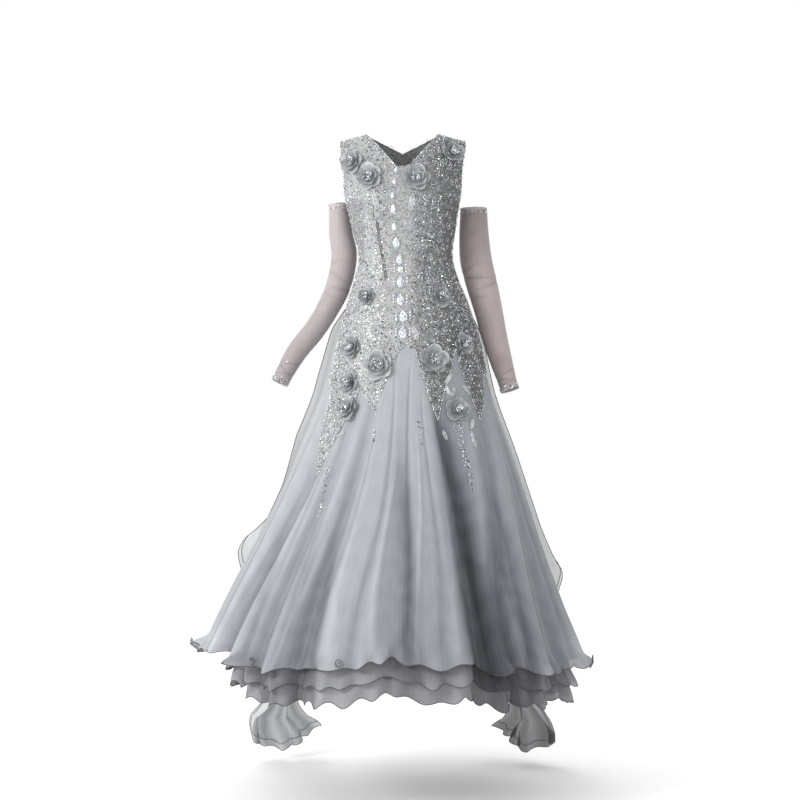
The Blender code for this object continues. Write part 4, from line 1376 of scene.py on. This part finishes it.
def stones(name, places, normals, radii, tones, finish, sides=6):
    """Many small stones as one mesh. Each keeps a tone, which its colour is taken from."""
    shape, faces = gem_shape(sides)
    count = len(places)
    normals = unit(normals + RANDOM.normal(0.0, STONE_TILT, (count, 3)))
    side = unit(np.cross(normals, RANDOM.normal(0.0, 1.0, (count, 3))))
    other = np.cross(normals, side)
    scaled = shape[None] * np.asarray(radii)[:, None, None]
    points = (
        (places + normals * STONE_LIFT)[:, None]
        + side[:, None] * scaled[..., 0:1]
        + other[:, None] * scaled[..., 1:2]
        + normals[:, None] * scaled[..., 2:3]
    )
    width = len(shape)
    sides = [[start + i for i in face] for start in range(0, count * width, width) for face in faces]
    mesh = new_mesh(name, points.reshape(-1, 3).tolist(), sides, False)
    add_value(mesh, "shade", np.repeat(tones, width))
    place_piece(name, mesh, finish)


def stone_material():
    """Silver stones: most bright, some dark, a few with a coloured coat."""
    material, tree, shader = make_material("stones", (0.8, 0.8, 0.8), 0.12)
    colour = ramp(tree, attribute(tree, "shade"), STONE_TONES)
    set_inputs(tree, shader, Base_Color=colour, Metallic=0.55, Specular_IOR_Level=0.9)
    return material


def random_tones(count, dark_share=0.30):
    """Tones of stones: some dark, most silver, a few with a coloured coat."""
    silver = between(0.42, 0.82, RANDOM.random(count))
    tones = np.where(RANDOM.random(count) < dark_share, 0.30 * RANDOM.random(count), silver)
    return np.where(RANDOM.random(count) < COATED_SHARE, between(0.85, 1.0, RANDOM.random(count)), tones)


def front_tree(meshes):
    vertices = []
    faces = []
    for mesh in meshes:
        start = len(vertices)
        vertices += [vertex.co.copy() for vertex in mesh.vertices]
        faces += [[start + i for i in face.vertices] for face in mesh.polygons]
    return BVHTree.FromPolygons(vertices, faces)


def front_hit(front, x, z):
    """The cloth that shows at a place in the front view, and its direction out."""
    place, direction = front.ray_cast(Vector((x, -1.0, z)), Vector((0.0, 1.0, 0.0)))[:2]
    if direction.y > 0:
        direction = -direction
    return np.array(place), np.array(direction)


def frame_at(front, x, z, step=0.005):
    """A place on the front with its directions across, up and out."""
    place, _ = front_hit(front, x, z)
    across = front_hit(front, x + step, z)[0] - front_hit(front, x - step, z)[0]
    up = front_hit(front, x, z + step)[0] - front_hit(front, x, z - step)[0]
    out = unit(np.cross(across, up))
    if out[1] > 0:
        out = -out
    side = unit(across)
    return place, side, np.cross(out, side), out


def petal(length, width, lift, cup_depth, curl, ruffle, phase):
    """A round petal that leaves the middle along +x, curling up at its rim."""
    along = 0.5 - 0.5 * np.cos(np.pi * np.linspace(0.07, 0.97, 11))[:, None]
    across = np.linspace(-1.0, 1.0, 13)[None]
    x = length * along
    y = width * 2.0 * np.sqrt(along * (1.0 - along)) * across
    rim = np.maximum(np.abs(2.0 * along - 1.0), np.abs(across)) ** 3
    z = lift * along + cup_depth * across**2 * along + curl * along**4
    z = z + ruffle * rim * along * np.sin(6.0 * across + 5.0 * along + phase)
    return np.stack(np.broadcast_arrays(x, y, z), -1), np.broadcast_to(rim, z.shape)


def make_flower(frame, turned, radius):
    """The petals of a flower on a frame of its own, and the shade of each of their points."""
    place, side, up, out = frame
    parts = []
    shades = []
    for count, length, width, height, lift, deep, curl, offset in PETAL_LAYERS:
        for i in range(count):
            turn = math.radians(turned + offset + 360.0 * i / count + RANDOM.normal(0.0, PETAL_SWAY))
            scale = radius * (1.0 + RANDOM.normal(0.0, PETAL_VARIANCE))
            phase = RANDOM.random() * 6.3
            shape, rim = petal(length * scale, width * scale, lift, deep, curl, PETAL_RUFFLE, phase)
            a = shape[..., 0] * math.cos(turn) - shape[..., 1] * math.sin(turn)
            b = shape[..., 0] * math.sin(turn) + shape[..., 1] * math.cos(turn)
            h = shape[..., 2] + height + PETAL_STEP * (i % 2)
            points = place + side * a[..., None] + up * b[..., None] + out * h[..., None]
            parts.append((points.reshape(-1, 3), grid_faces(*points.shape[:2])[:, [0, 3, 2, 1]].tolist()))
            from_middle = np.hypot(a, b) / radius
            shades.append((0.15 + 0.40 * from_middle + 0.35 * rim + 0.10 * RANDOM.random()).reshape(-1))
    return parts, np.concatenate(shades)


def make_flowers(front, finish, gems):
    """Fabric flowers of three rings of petals, each with a cluster of stones in its middle."""
    count = FLOWER_STONES
    for number, (x, z, turned, radius) in enumerate(FLOWERS, 1):
        name = f"flower_{number:02d}"
        frame = frame_at(front, x, z)
        parts, shades = make_flower(frame, turned, radius)
        mesh = join_meshes(name, parts)
        add_value(mesh, "shade", shades)
        place_piece(f"look_{name}", mesh, finish, name)
        place, side, up, out = frame
        angles = RANDOM.random(count) * 2 * math.pi
        reach = np.sqrt(RANDOM.random(count)) * FLOWER_HEART * radius
        spots = (
            place
            + side * (np.cos(angles) * reach)[:, None]
            + up * (np.sin(angles) * reach)[:, None]
            + out * (0.0130 + RANDOM.random(count)[:, None] * 0.003)
        )
        radii = 0.0013 + RANDOM.random(count) * 0.0012
        gems.append((spots, np.tile(out, (count, 1)), radii, random_tones(count)))


def flower_material():
    """Stiff organza petals, darker to the middle, with pale rims and a fine mottle."""
    material, tree, shader = make_material("petals", (0.24, 0.27, 0.28), 0.5)
    place = add_node(tree, "ShaderNodeTexCoord").outputs["Object"]
    mottle = add_node(tree, "ShaderNodeTexNoise", Vector=place, Scale=420.0, Detail=3.0).outputs["Fac"]
    level = maths(tree, "MULTIPLY_ADD", mottle, 0.30, attribute(tree, "shade"))
    set_inputs(tree, shader, Base_Color=ramp(tree, level, PETAL_TONES), Alpha=0.94, Sheen_Weight=0.1)
    return material


def crystal_parts(frame, half_width, half_length):
    """Points and faces of a drop-shaped cut crystal."""
    place, side, up, out = frame
    sides = CRYSTAL_SIDES
    turns = np.arange(sides) * 2 * math.pi / sides
    rings = []
    for share, height, shift in CRYSTAL_RINGS:
        turn = turns + shift * math.pi * 2 / sides
        taper = 1.0 - CRYSTAL_TAPER * np.maximum(0.0, np.sin(turn)) ** 1.5
        a = half_width * share * taper * np.cos(turn)
        b = half_length * share * np.sin(turn)
        rings.append(place + side * a[:, None] + up * b[:, None] + out * height)
    rings.append((place + out * CRYSTAL_TOP)[None])
    faces = []
    for ring in range(3):
        low, high = ring * sides, (ring + 1) * sides
        for i in range(sides):
            j = (i + 1) % sides
            if ring == 1:
                faces += [[low + i, low + j, high + i], [low + j, high + j, high + i]]
            else:
                faces.append([low + i, low + j, high + j, high + i])
    faces += [[3 * sides + i, 3 * sides + (i + 1) % sides, 4 * sides] for i in range(sides)]
    return np.concatenate(rings), faces


def make_crystals(front, finish):
    """Large cut crystals down the middle of the front, each facet with a tint of its own: painted glints in the
    coating's colours.
    """
    glint_tints = np.array(CRYSTAL_GLINT_TINTS)
    for number, (x, z, half_width, half_length) in enumerate(CRYSTALS, 1):
        name = f"crystal_{number:02d}"
        parts = crystal_parts(frame_at(front, x, z, 0.003), half_width, half_length)
        mesh = join_meshes(name, [parts], False)
        colours = np.ones((len(mesh.loops), 4), dtype=np.float32)
        for face in mesh.polygons:
            colours[list(face.loop_indices), :3] = glint_tints[RANDOM.integers(len(glint_tints))]
        layer = mesh.color_attributes.new("glint_tint", "FLOAT_COLOR", "CORNER")
        layer.data.foreach_set("color", colours.ravel())
        place_piece(f"look_{name}", mesh, finish, name)


def crystal_material():
    material, tree, shader = make_material("crystal", (0.9, 0.93, 0.97), 0.05)
    # Each facet takes its painted glint tint as its colour
    glint_tint = add_node(tree, "ShaderNodeVertexColor", {"layer_name": "glint_tint"}).outputs["Color"]
    set_inputs(tree, shader, Base_Color=glint_tint, Metallic=0.35, Specular_IOR_Level=1.0, Coat_Weight=0.6)
    return material


def leaf_line(front, leaf, share, lift):
    """A pointed oval on the front, as the path of a cord."""
    x, z, turned, half_length = leaf
    _, side, up, _ = frame_at(front, x, z)
    lean = math.radians(turned)
    turn = np.linspace(0.0, 2 * math.pi, LEAF_POINTS, endpoint=False)
    wide = half_length * LEAF_WIDTH_SHARE * share * signed_power(np.cos(turn), 1.3)
    long = half_length * (0.25 + 0.75 * share) * np.sin(turn)
    across = wide * math.cos(lean) - long * math.sin(lean)
    along = wide * math.sin(lean) + long * math.cos(lean)
    path = []
    for a, b in zip(across, along):
        spot, direction = front_hit(front, x + side[0] * a + up[0] * b, z + side[2] * a + up[2] * b)
        path.append(spot + direction * lift)
    return np.array(path)


def make_leaves(front, finish):
    """Corded leaves, of cords one inside the other."""
    for number, leaf in enumerate(LEAVES, 1):
        parts = [tube(leaf_line(front, leaf, *ring), LEAF_CORD) for ring in LEAF_RINGS]
        name = f"leaf_{number:02d}"
        place_piece(f"look_{name}", join_meshes(name, parts), finish, name)
    parts = []
    for leaf in SMALL_LEAVES:
        parts += [tube(leaf_line(front, leaf, *ring), SMALL_LEAF_CORD) for ring in SMALL_LEAF_RINGS]
    place_piece("small_leaves", join_meshes("small_leaves", parts), finish)


def float_points(shape, across, down, side):
    """Points of a float; across runs from its outer edge to its inner edge."""
    z = between(FLOAT_TOP_Z - FLOAT_TOP_SLANT * across, table_value(shape["foot"], across), down)
    middle = sum(shape["foot_angles"]) / 2
    pinch = FLOAT_PINCH * np.exp(-((z - FLOAT_PINCH_Z) / FLOAT_PINCH_REACH) ** 2)
    flare = FLOAT_FLARE * ease((FLOAT_FLARE_Z - z) / FLOAT_FLARE_REACH)
    angle = between(between(*FLOAT_TOP_ANGLES, across), between(*shape["foot_angles"], across), down**0.8)
    angle = between(angle, middle, pinch - flare)
    wing = np.maximum(0.0, 1.0 - across / FLOAT_WING_SHARE)
    turn = 2 * math.pi * across
    small = np.sin(9.0 * turn + 2.0 + 3.0 * down) + 0.6 * np.sin(15.0 * turn + side)
    out = (
        FLOAT_OUT
        + FLOAT_LIFT * ease(down / FLOAT_LIFT_SHARE)
        + FLOAT_SPREAD * down
        + table_value(shape["wing"], down) * wing * wing
        + FLOAT_FLUTE * down * down * np.sin(FLOAT_FLUTES * turn + shape["start"])
        + FLOAT_SMALL_FLUTE * down * small
    )
    fall = np.maximum(z, FLOAT_FALL_Z)
    place = envelope(angle, fall, out)
    place[..., 2] = z
    if side < 0:
        place[..., 0] = 2 * section(fall, 4) - place[..., 0]
    return place


def bell_out(place, shape):
    """Draws the tail of a float in at its top and flares it at its foot."""
    z = place[..., 2]
    table = shape["bell"]
    top = table[-1][0]
    before, after, width = (table_value(table, z, column) for column in (1, 2, 3))
    off = TAIL_HALF * np.tanh((place[..., 0] - before) * width / TAIL_HALF)
    place = place.copy()
    place[..., 0] = np.where(z < top, after + off, place[..., 0])
    tail = ease((top - z) / TAIL_GROWTH)
    place[..., 2] = z + TAIL_ROUND * tail * np.minimum(np.abs(off) / TAIL_REACH, TAIL_LIMIT) ** 4
    return place


def make_float(name, shape, side, finish):
    """A sheer float, thicker to the eye at its tail, with painted light and shade across its waves and a
    painted shadow on its tail where its table asks for one. Returns its points.
    """
    across = np.linspace(0.0, 1.0, FLOAT_COLUMNS)
    down = rows_to(*FLOAT_ROWS)
    place = float_points(shape, across[None], down[:, None], side)
    curl = ease((down - FLOAT_CURL_START) / (1.0 - FLOAT_CURL_START))[:, None]
    phase = 2 * math.pi * FLOAT_WAVES * across + FLOAT_WAVE_SWAY * np.sin(2 * math.pi * 1.3 * across)
    ahead = unit(np.gradient(place, axis=1))
    away = np.cross(ahead, np.array([0.0, 0.0, -1.0])) * -side
    place = place + away * (FLOAT_CURL_OUT * curl * np.sin(phase))[..., None]
    place[..., 2] += FLOAT_CURL_RISE * curl * np.cos(phase)
    place = bell_out(place, shape)
    tail = ease((TAIL_SHADE_Z - place[..., 2]) / TAIL_SHADE_REACH)
    veil = between(*FLOAT_VEIL, tail)
    # Painted light and shade: lighter and darker across the waves, and a painted shadow on a tail that keeps
    # less light
    light = (FLOAT_LIGHT + FLOAT_WAVE_LIGHT * np.sin(phase)[None]) * between(1.0, shape["painted_tail_light"], tail)
    if side < 0:
        place, veil, light = place[:, ::-1], veil[:, ::-1], light[:, ::-1]
    cloth = np.stack(np.broadcast_arrays(across[None] * FLOAT_CLOTH_WIDTH, down[:, None]), -1)
    mesh = grid_mesh(name, place, cloth, np.ascontiguousarray(light))
    add_value(mesh, "veil", veil.reshape(-1))
    place_piece(f"look_{name}", mesh, finish, name)
    return place


def sleeve_points(sections, around, down):
    """Points of a sleeve at turns round it and shares down it, with directions out."""
    table = np.array([(i / (len(sections) - 1), *row) for i, row in enumerate(sections)])
    middle = np.stack([smooth_row(table, down, column) for column in (1, 2, 3)], -1)
    ahead = unit(np.gradient(middle, axis=0))
    deep = unit(np.array([0.0, 1.0, 0.0]) - ahead * ahead[:, 1:2])
    wide = np.cross(deep, ahead)
    turn = around[None, :, None]
    across = wide[:, None] * np.sin(turn)
    through = deep[:, None] * np.cos(turn)
    wide_by, deep_by = (smooth_row(table, down, column)[:, None, None] for column in (4, 5))
    return middle[:, None] + across * wide_by - through * deep_by, across - through


def make_sleeve(name, sections, finish, tones):
    """A mesh sleeve with the creases of a bent arm. Returns its mesh and its points."""
    around = np.linspace(0.0, 2 * math.pi, SLEEVE_COLUMNS, endpoint=False)
    down = np.linspace(0.0, 1.0, SLEEVE_ROWS)
    place, out = sleeve_points(sections, around, down)
    dent = np.zeros((len(down), len(around)))
    for at, turn, deep, width, slant in SLEEVE_CREASES:
        off = (down[:, None] - at - slant * np.sin(around[None] - math.radians(turn))) / width
        near = np.exp(-((turn_from(np.degrees(around[None]), turn) / CREASE_REACH) ** 2))
        dent += deep * np.exp(-off * off) * near
    place = (place - out * dent[..., None])[:, ::-1]
    # The first column is repeated, so the seam under the arm stays two edges
    seam = np.append(np.arange(len(around)), 0)
    turns = np.append(around, 2 * math.pi)[None] * SLEEVE_CLOTH_RADIUS
    cloth = np.stack(np.broadcast_arrays(turns, down[:, None] * SLEEVE_CLOTH_LENGTH), -1)
    # Painted light and shade down the arm, and painted shade in the creases
    tone = np.interp(down, TONE_PLACES, tones)[:, None]
    shade = np.clip(tone - np.abs(dent[:, ::-1]) / CREASE_DARKNESS, 0.0, 1.0)
    mesh = grid_mesh(name, place[:, seam], cloth, np.ascontiguousarray(shade[:, seam]))
    place_piece(f"look_{name}", mesh, finish, name)
    return mesh, place


def mesh_material(name, light, dark):
    """Stretch mesh: fine, matt and partly see-through, mottled, with painted shade in its creases and painted
    light and shade down the arm.
    """
    material, tree, shader = make_material(name, light, 0.65)
    cloth = cloth_map(tree)
    soft = add_node(tree, "ShaderNodeTexNoise", Vector=cloth, Scale=22.0, Detail=3.0).outputs["Fac"]
    level = maths(tree, "MULTIPLY_ADD", soft, MOTTLE, attribute(tree, "shade"))
    level = maths(tree, "SUBTRACT", level, MOTTLE / 2)
    set_inputs(
        tree, shader, Base_Color=ramp(tree, level, [(0.0, dark), (1.0, light)]),
        Normal=bump(tree, cell_edges(tree, cloth, 1400.0), 0.3, 0.0004), Alpha=0.88, Sheen_Weight=0.15
    )
    return material


def make_cords(name, lines, radius, finish, closed=True):
    parts = [tube(line, radius, closed=closed) for line in lines]
    place_piece(name, join_meshes(name, parts), finish)


def bodice_stones(bodice, finish):
    """Stones all over the bodice: three sizes, larger ones first."""
    triangles = mesh_arrays(bodice)

    def large_chance(places):
        chance = np.where(in_middle(places), 0.12, 1.0)
        return chance * np.where(in_side_panel(places), 0.15, 1.0) * between(0.10, 1.0, in_motif(places))

    def small_chance(places):
        return np.where(in_side_panel(places), 0.12, 1.0) * between(0.40, 1.0, in_motif(places))

    for name, spacing, radius, count, sides, chance in (
        ("bodice_stones_1", 0.0088, 0.0023, 9000, 6, large_chance),
        ("bodice_stones_2", 0.0052, 0.0016, 26000, 6, large_chance),
        ("bodice_beads", 0.0035, 0.0011, 70000, 4, small_chance),
    ):
        places, normals = scatter(triangles, count, spacing, chance)
        radii = varied(radius, len(places))
        tones = random_tones(len(places), table_value(DARK_STONES, places[:, 0]))
        tones = np.where(in_middle(places), 0.24 + 0.30 * RANDOM.random(len(places)), tones)
        stones(name, places, normals, radii, tones, finish, sides)


def make_lace(bodice, finish):
    """Fine corded rings and leaves of the lace, all over the bodice."""

    def chance(places):
        return between(0.15, 1.0, in_motif(places)) * ~in_middle(places)

    places, normals = scatter(mesh_arrays(bodice), LACE_COUNT, LACE_SPACING, chance)
    turn = np.linspace(0.0, 2 * math.pi, LACE_POINTS, endpoint=False)
    parts = []
    for place, normal in zip(places, normals):
        low, high, width_share, power = LACE_RING if RANDOM.random() < LACE_RING_SHARE else LACE_LEAF
        half_length = between(low, high, RANDOM.random())
        side = unit(np.cross(normal, RANDOM.normal(0.0, 1.0, 3)))
        up = np.cross(normal, side)
        wide = half_length * width_share * signed_power(np.cos(turn), power)
        long = half_length * np.sin(turn)
        path = place + normal * LACE_LIFT + side * wide[:, None] + up * long[:, None]
        parts.append(tube(path, LACE_CORD, 4))
    place_piece("lace_cords", join_meshes("lace_cords", parts), finish)


def spaced(line, spacing):
    """Places along a line, evenly spaced."""
    line = np.asarray(line, float)
    run = np.concatenate([[0.0], np.cumsum(np.linalg.norm(np.diff(line, axis=0), axis=1))])
    at = np.arange(spacing / 2, run[-1], spacing)
    return np.stack([np.interp(at, run, line[:, i]) for i in range(3)], -1)


def stone_row(line, spacing, radius, directions, tones, gems):
    """Small stones side by side along a line; the directions say which way each faces."""
    places = spaced(line, spacing)
    radii = varied(radius, len(places))
    gems.append((places, directions(places), radii, between(*tones, RANDOM.random(len(places)))))


def away_from_middle(places):
    return unit(places * LEVEL)


def forward(places):
    return np.tile((0.0, -1.0, 0.0), (len(places), 1))


def front_line(front, points, steps=24):
    """A line on the front through places in x and z."""
    x, z = np.array(points).T
    number = np.arange(len(x))
    line = []
    for share in np.linspace(0.0, len(x) - 1.0, steps):
        place, direction = front_hit(front, np.interp(share, number, x), np.interp(share, number, z))
        line.append(place + direction * LINE_LIFT)
    return np.array(line)


def make_tails(front, gems):
    """Stones on the skirt, thick below a point of the bodice and thinning out to nothing."""
    for points, half_width in STONE_TAILS:
        line_x, line_z = np.array(points).T
        count = 2 * int(TAIL_DENSITY * half_width * (line_z[0] - line_z[-1]))
        share = RANDOM.random(count) ** 1.2
        number = share * (len(points) - 1)
        x = np.interp(number, range(len(points)), line_x)
        z = np.interp(number, range(len(points)), line_z)
        x = x + half_width * (1.0 - TAIL_TAPER * share) * (2.0 * RANDOM.random(count) - 1.0)
        places, normals = (np.array(rows) for rows in zip(*(front_hit(front, a, b) for a, b in zip(x, z))))
        radii = 0.0009 + 0.0015 * RANDOM.random(count) ** 2
        gems.append((places, normals, radii, random_tones(count, 0.4)))


def trim_front(front, gems):
    """Bead lines, tails of stones and the smaller coloured stones beside the crystals."""
    for points in BEAD_LINES:
        stone_row(front_line(front, points), 0.0026, 0.0014, forward, (0.05, 0.30), gems)
    make_tails(front, gems)
    for x, z, half_width, half_length in CRYSTALS:
        wide, long = half_width + RING_GAP, half_length + RING_GAP
        ring = [(x + wide * math.cos(a), z + long * math.sin(a)) for a in np.linspace(0.0, 2 * math.pi, 40)]
        stone_row(front_line(front, ring, 60), 0.0026, 0.0011, forward, (0.30, 0.85), gems)
        if z < PAIRED_BELOW_Z:
            for side in (-1, 1):
                beside = x + side * (half_width + PAIR_GAP)
                column = [(beside, z - 0.010), (beside, z + 0.012)]
                stone_row(front_line(front, column, 8), 0.0075, 0.0026, forward, (0.80, 1.0), gems)


def add_object(name, data):
    item = bpy.data.objects.new(name, data)
    bpy.context.scene.collection.objects.link(item)
    return item


def make_stage():
    """Pale floor, soft light and the camera."""
    corners = [(x * FLOOR_HALF, y * FLOOR_HALF, FLOOR_Z) for x, y in ((-1, -1), (1, -1), (1, 1), (-1, 1))]
    mesh = new_mesh("floor", corners, [[0, 1, 2, 3]], False)
    material, tree, shader = make_material("floor_white", (1.0, 1.0, 1.0), 0.9)
    set_inputs(tree, shader, Specular_IOR_Level=0.0)
    mesh.materials.append(material)
    add_object("floor", mesh)
    world = bpy.data.worlds.new("studio")
    world.use_nodes = True
    tree = world.node_tree
    set_inputs(tree, tree.nodes["Background"], Color=(1.0, 1.0, 1.0, 1.0), Strength=1.0)
    bpy.context.scene.world = world
    for name, place, size, power in LIGHTS:
        light = bpy.data.lights.new(name, "AREA")
        light.size = size
        light.energy = power
        lamp = add_object(name, light)
        lamp.location = place
        lamp.rotation_mode = "QUATERNION"
        lamp.rotation_quaternion = (Vector(LIGHT_AIM) - Vector(place)).to_track_quat("-Z", "Y")
    camera = bpy.data.cameras.new("camera")
    camera.lens = CAMERA_LENS
    camera.sensor_width = 36.0
    camera.clip_end = 100.0
    eye = add_object("camera", camera)
    eye.location = CAMERA_PLACE
    eye.rotation_euler = (math.radians(90.0), 0.0, 0.0)
    bpy.context.scene.camera = eye
    bpy.context.scene.view_settings.view_transform = "Standard"


def dress_skirt(dark_cord, gems):
    """The outer gores, the under layers and the floats, with their cords. Returns the meshes of the gores."""
    gores, outer_hem = make_skirt(organza_material("organza", OUTER_TONES, 0.92))
    under_hems = make_under_layers(organza_material("under_organza", UNDER_TONES, 0.94))
    make_cords("hem_cords", [outer_hem, *under_hems], HEM_CORD, dark_cord)
    make_cords("hem_spirals", spiral_cords(outer_hem), HEM_CORD, dark_cord, False)
    float_edges = []
    sheer = organza_material("float_organza", FLOAT_TONES)
    for name, shape, side in (("float_left", FLOAT_LEFT, -1), ("float_right", FLOAT_RIGHT, 1)):
        place = make_float(name, shape, side, sheer)
        outer, inner = (place[:, -1], place[:, 0]) if side < 0 else (place[:, 0], place[:, -1])
        float_edges += [place[-1], outer, inner, place[-5]]
        stone_row(outer[: shape["stoned_rows"]], 0.0042, 0.0016, away_from_middle, (0.2, 0.9), gems)
    make_cords("float_cords", float_edges, FLOAT_CORD, dark_cord, False)
    return gores


def dress_sleeves(gems):
    """The two sleeves, with stones scattered on them and in rows at both ends."""
    for name, sections, light, dark, tones in SLEEVES:
        mesh, place = make_sleeve(name, sections, mesh_material(f"{name}_mesh", light, dark), tones)
        spots, normals = scatter(mesh_arrays([mesh]), SLEEVE_STONES, SLEEVE_SPACING)
        gems.append((spots, normals, np.full(len(spots), SLEEVE_STONE), random_tones(len(spots))))
        for row in SLEEVE_STONE_ROWS:
            ring = np.concatenate([place[row], place[row][:1]])
            middle = place[row].mean(axis=0)
            stone_row(ring, 0.0034, 0.0014, lambda places: unit(places - middle), (0.15, 0.90), gems)


def main():
    clear_scene()
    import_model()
    make_stage()
    dark_cord, _, _ = make_material("hem_cord", (0.07, 0.07, 0.08), 0.5)
    silver_cord, tree, shader = make_material("silver_cord", (0.62, 0.63, 0.65), 0.35)
    set_inputs(tree, shader, Metallic=0.3)
    stone_finish = stone_material()
    gems = []
    gores = dress_skirt(dark_cord, gems)
    bodice, edges = make_bodice(bodice_material())
    bodice_stones(bodice, stone_finish)
    make_lace(bodice, silver_cord)
    for line in edges:
        stone_row(line, 0.0030, 0.0015, away_from_middle, (0.15, 0.85), gems)
    front = front_tree(bodice + gores)
    make_flowers(front, flower_material(), gems)
    make_crystals(front, crystal_material())
    make_leaves(front, silver_cord)
    trim_front(front, gems)
    dress_sleeves(gems)
    stones("loose_stones", *(np.concatenate(rows) for rows in zip(*gems)), stone_finish)


main()
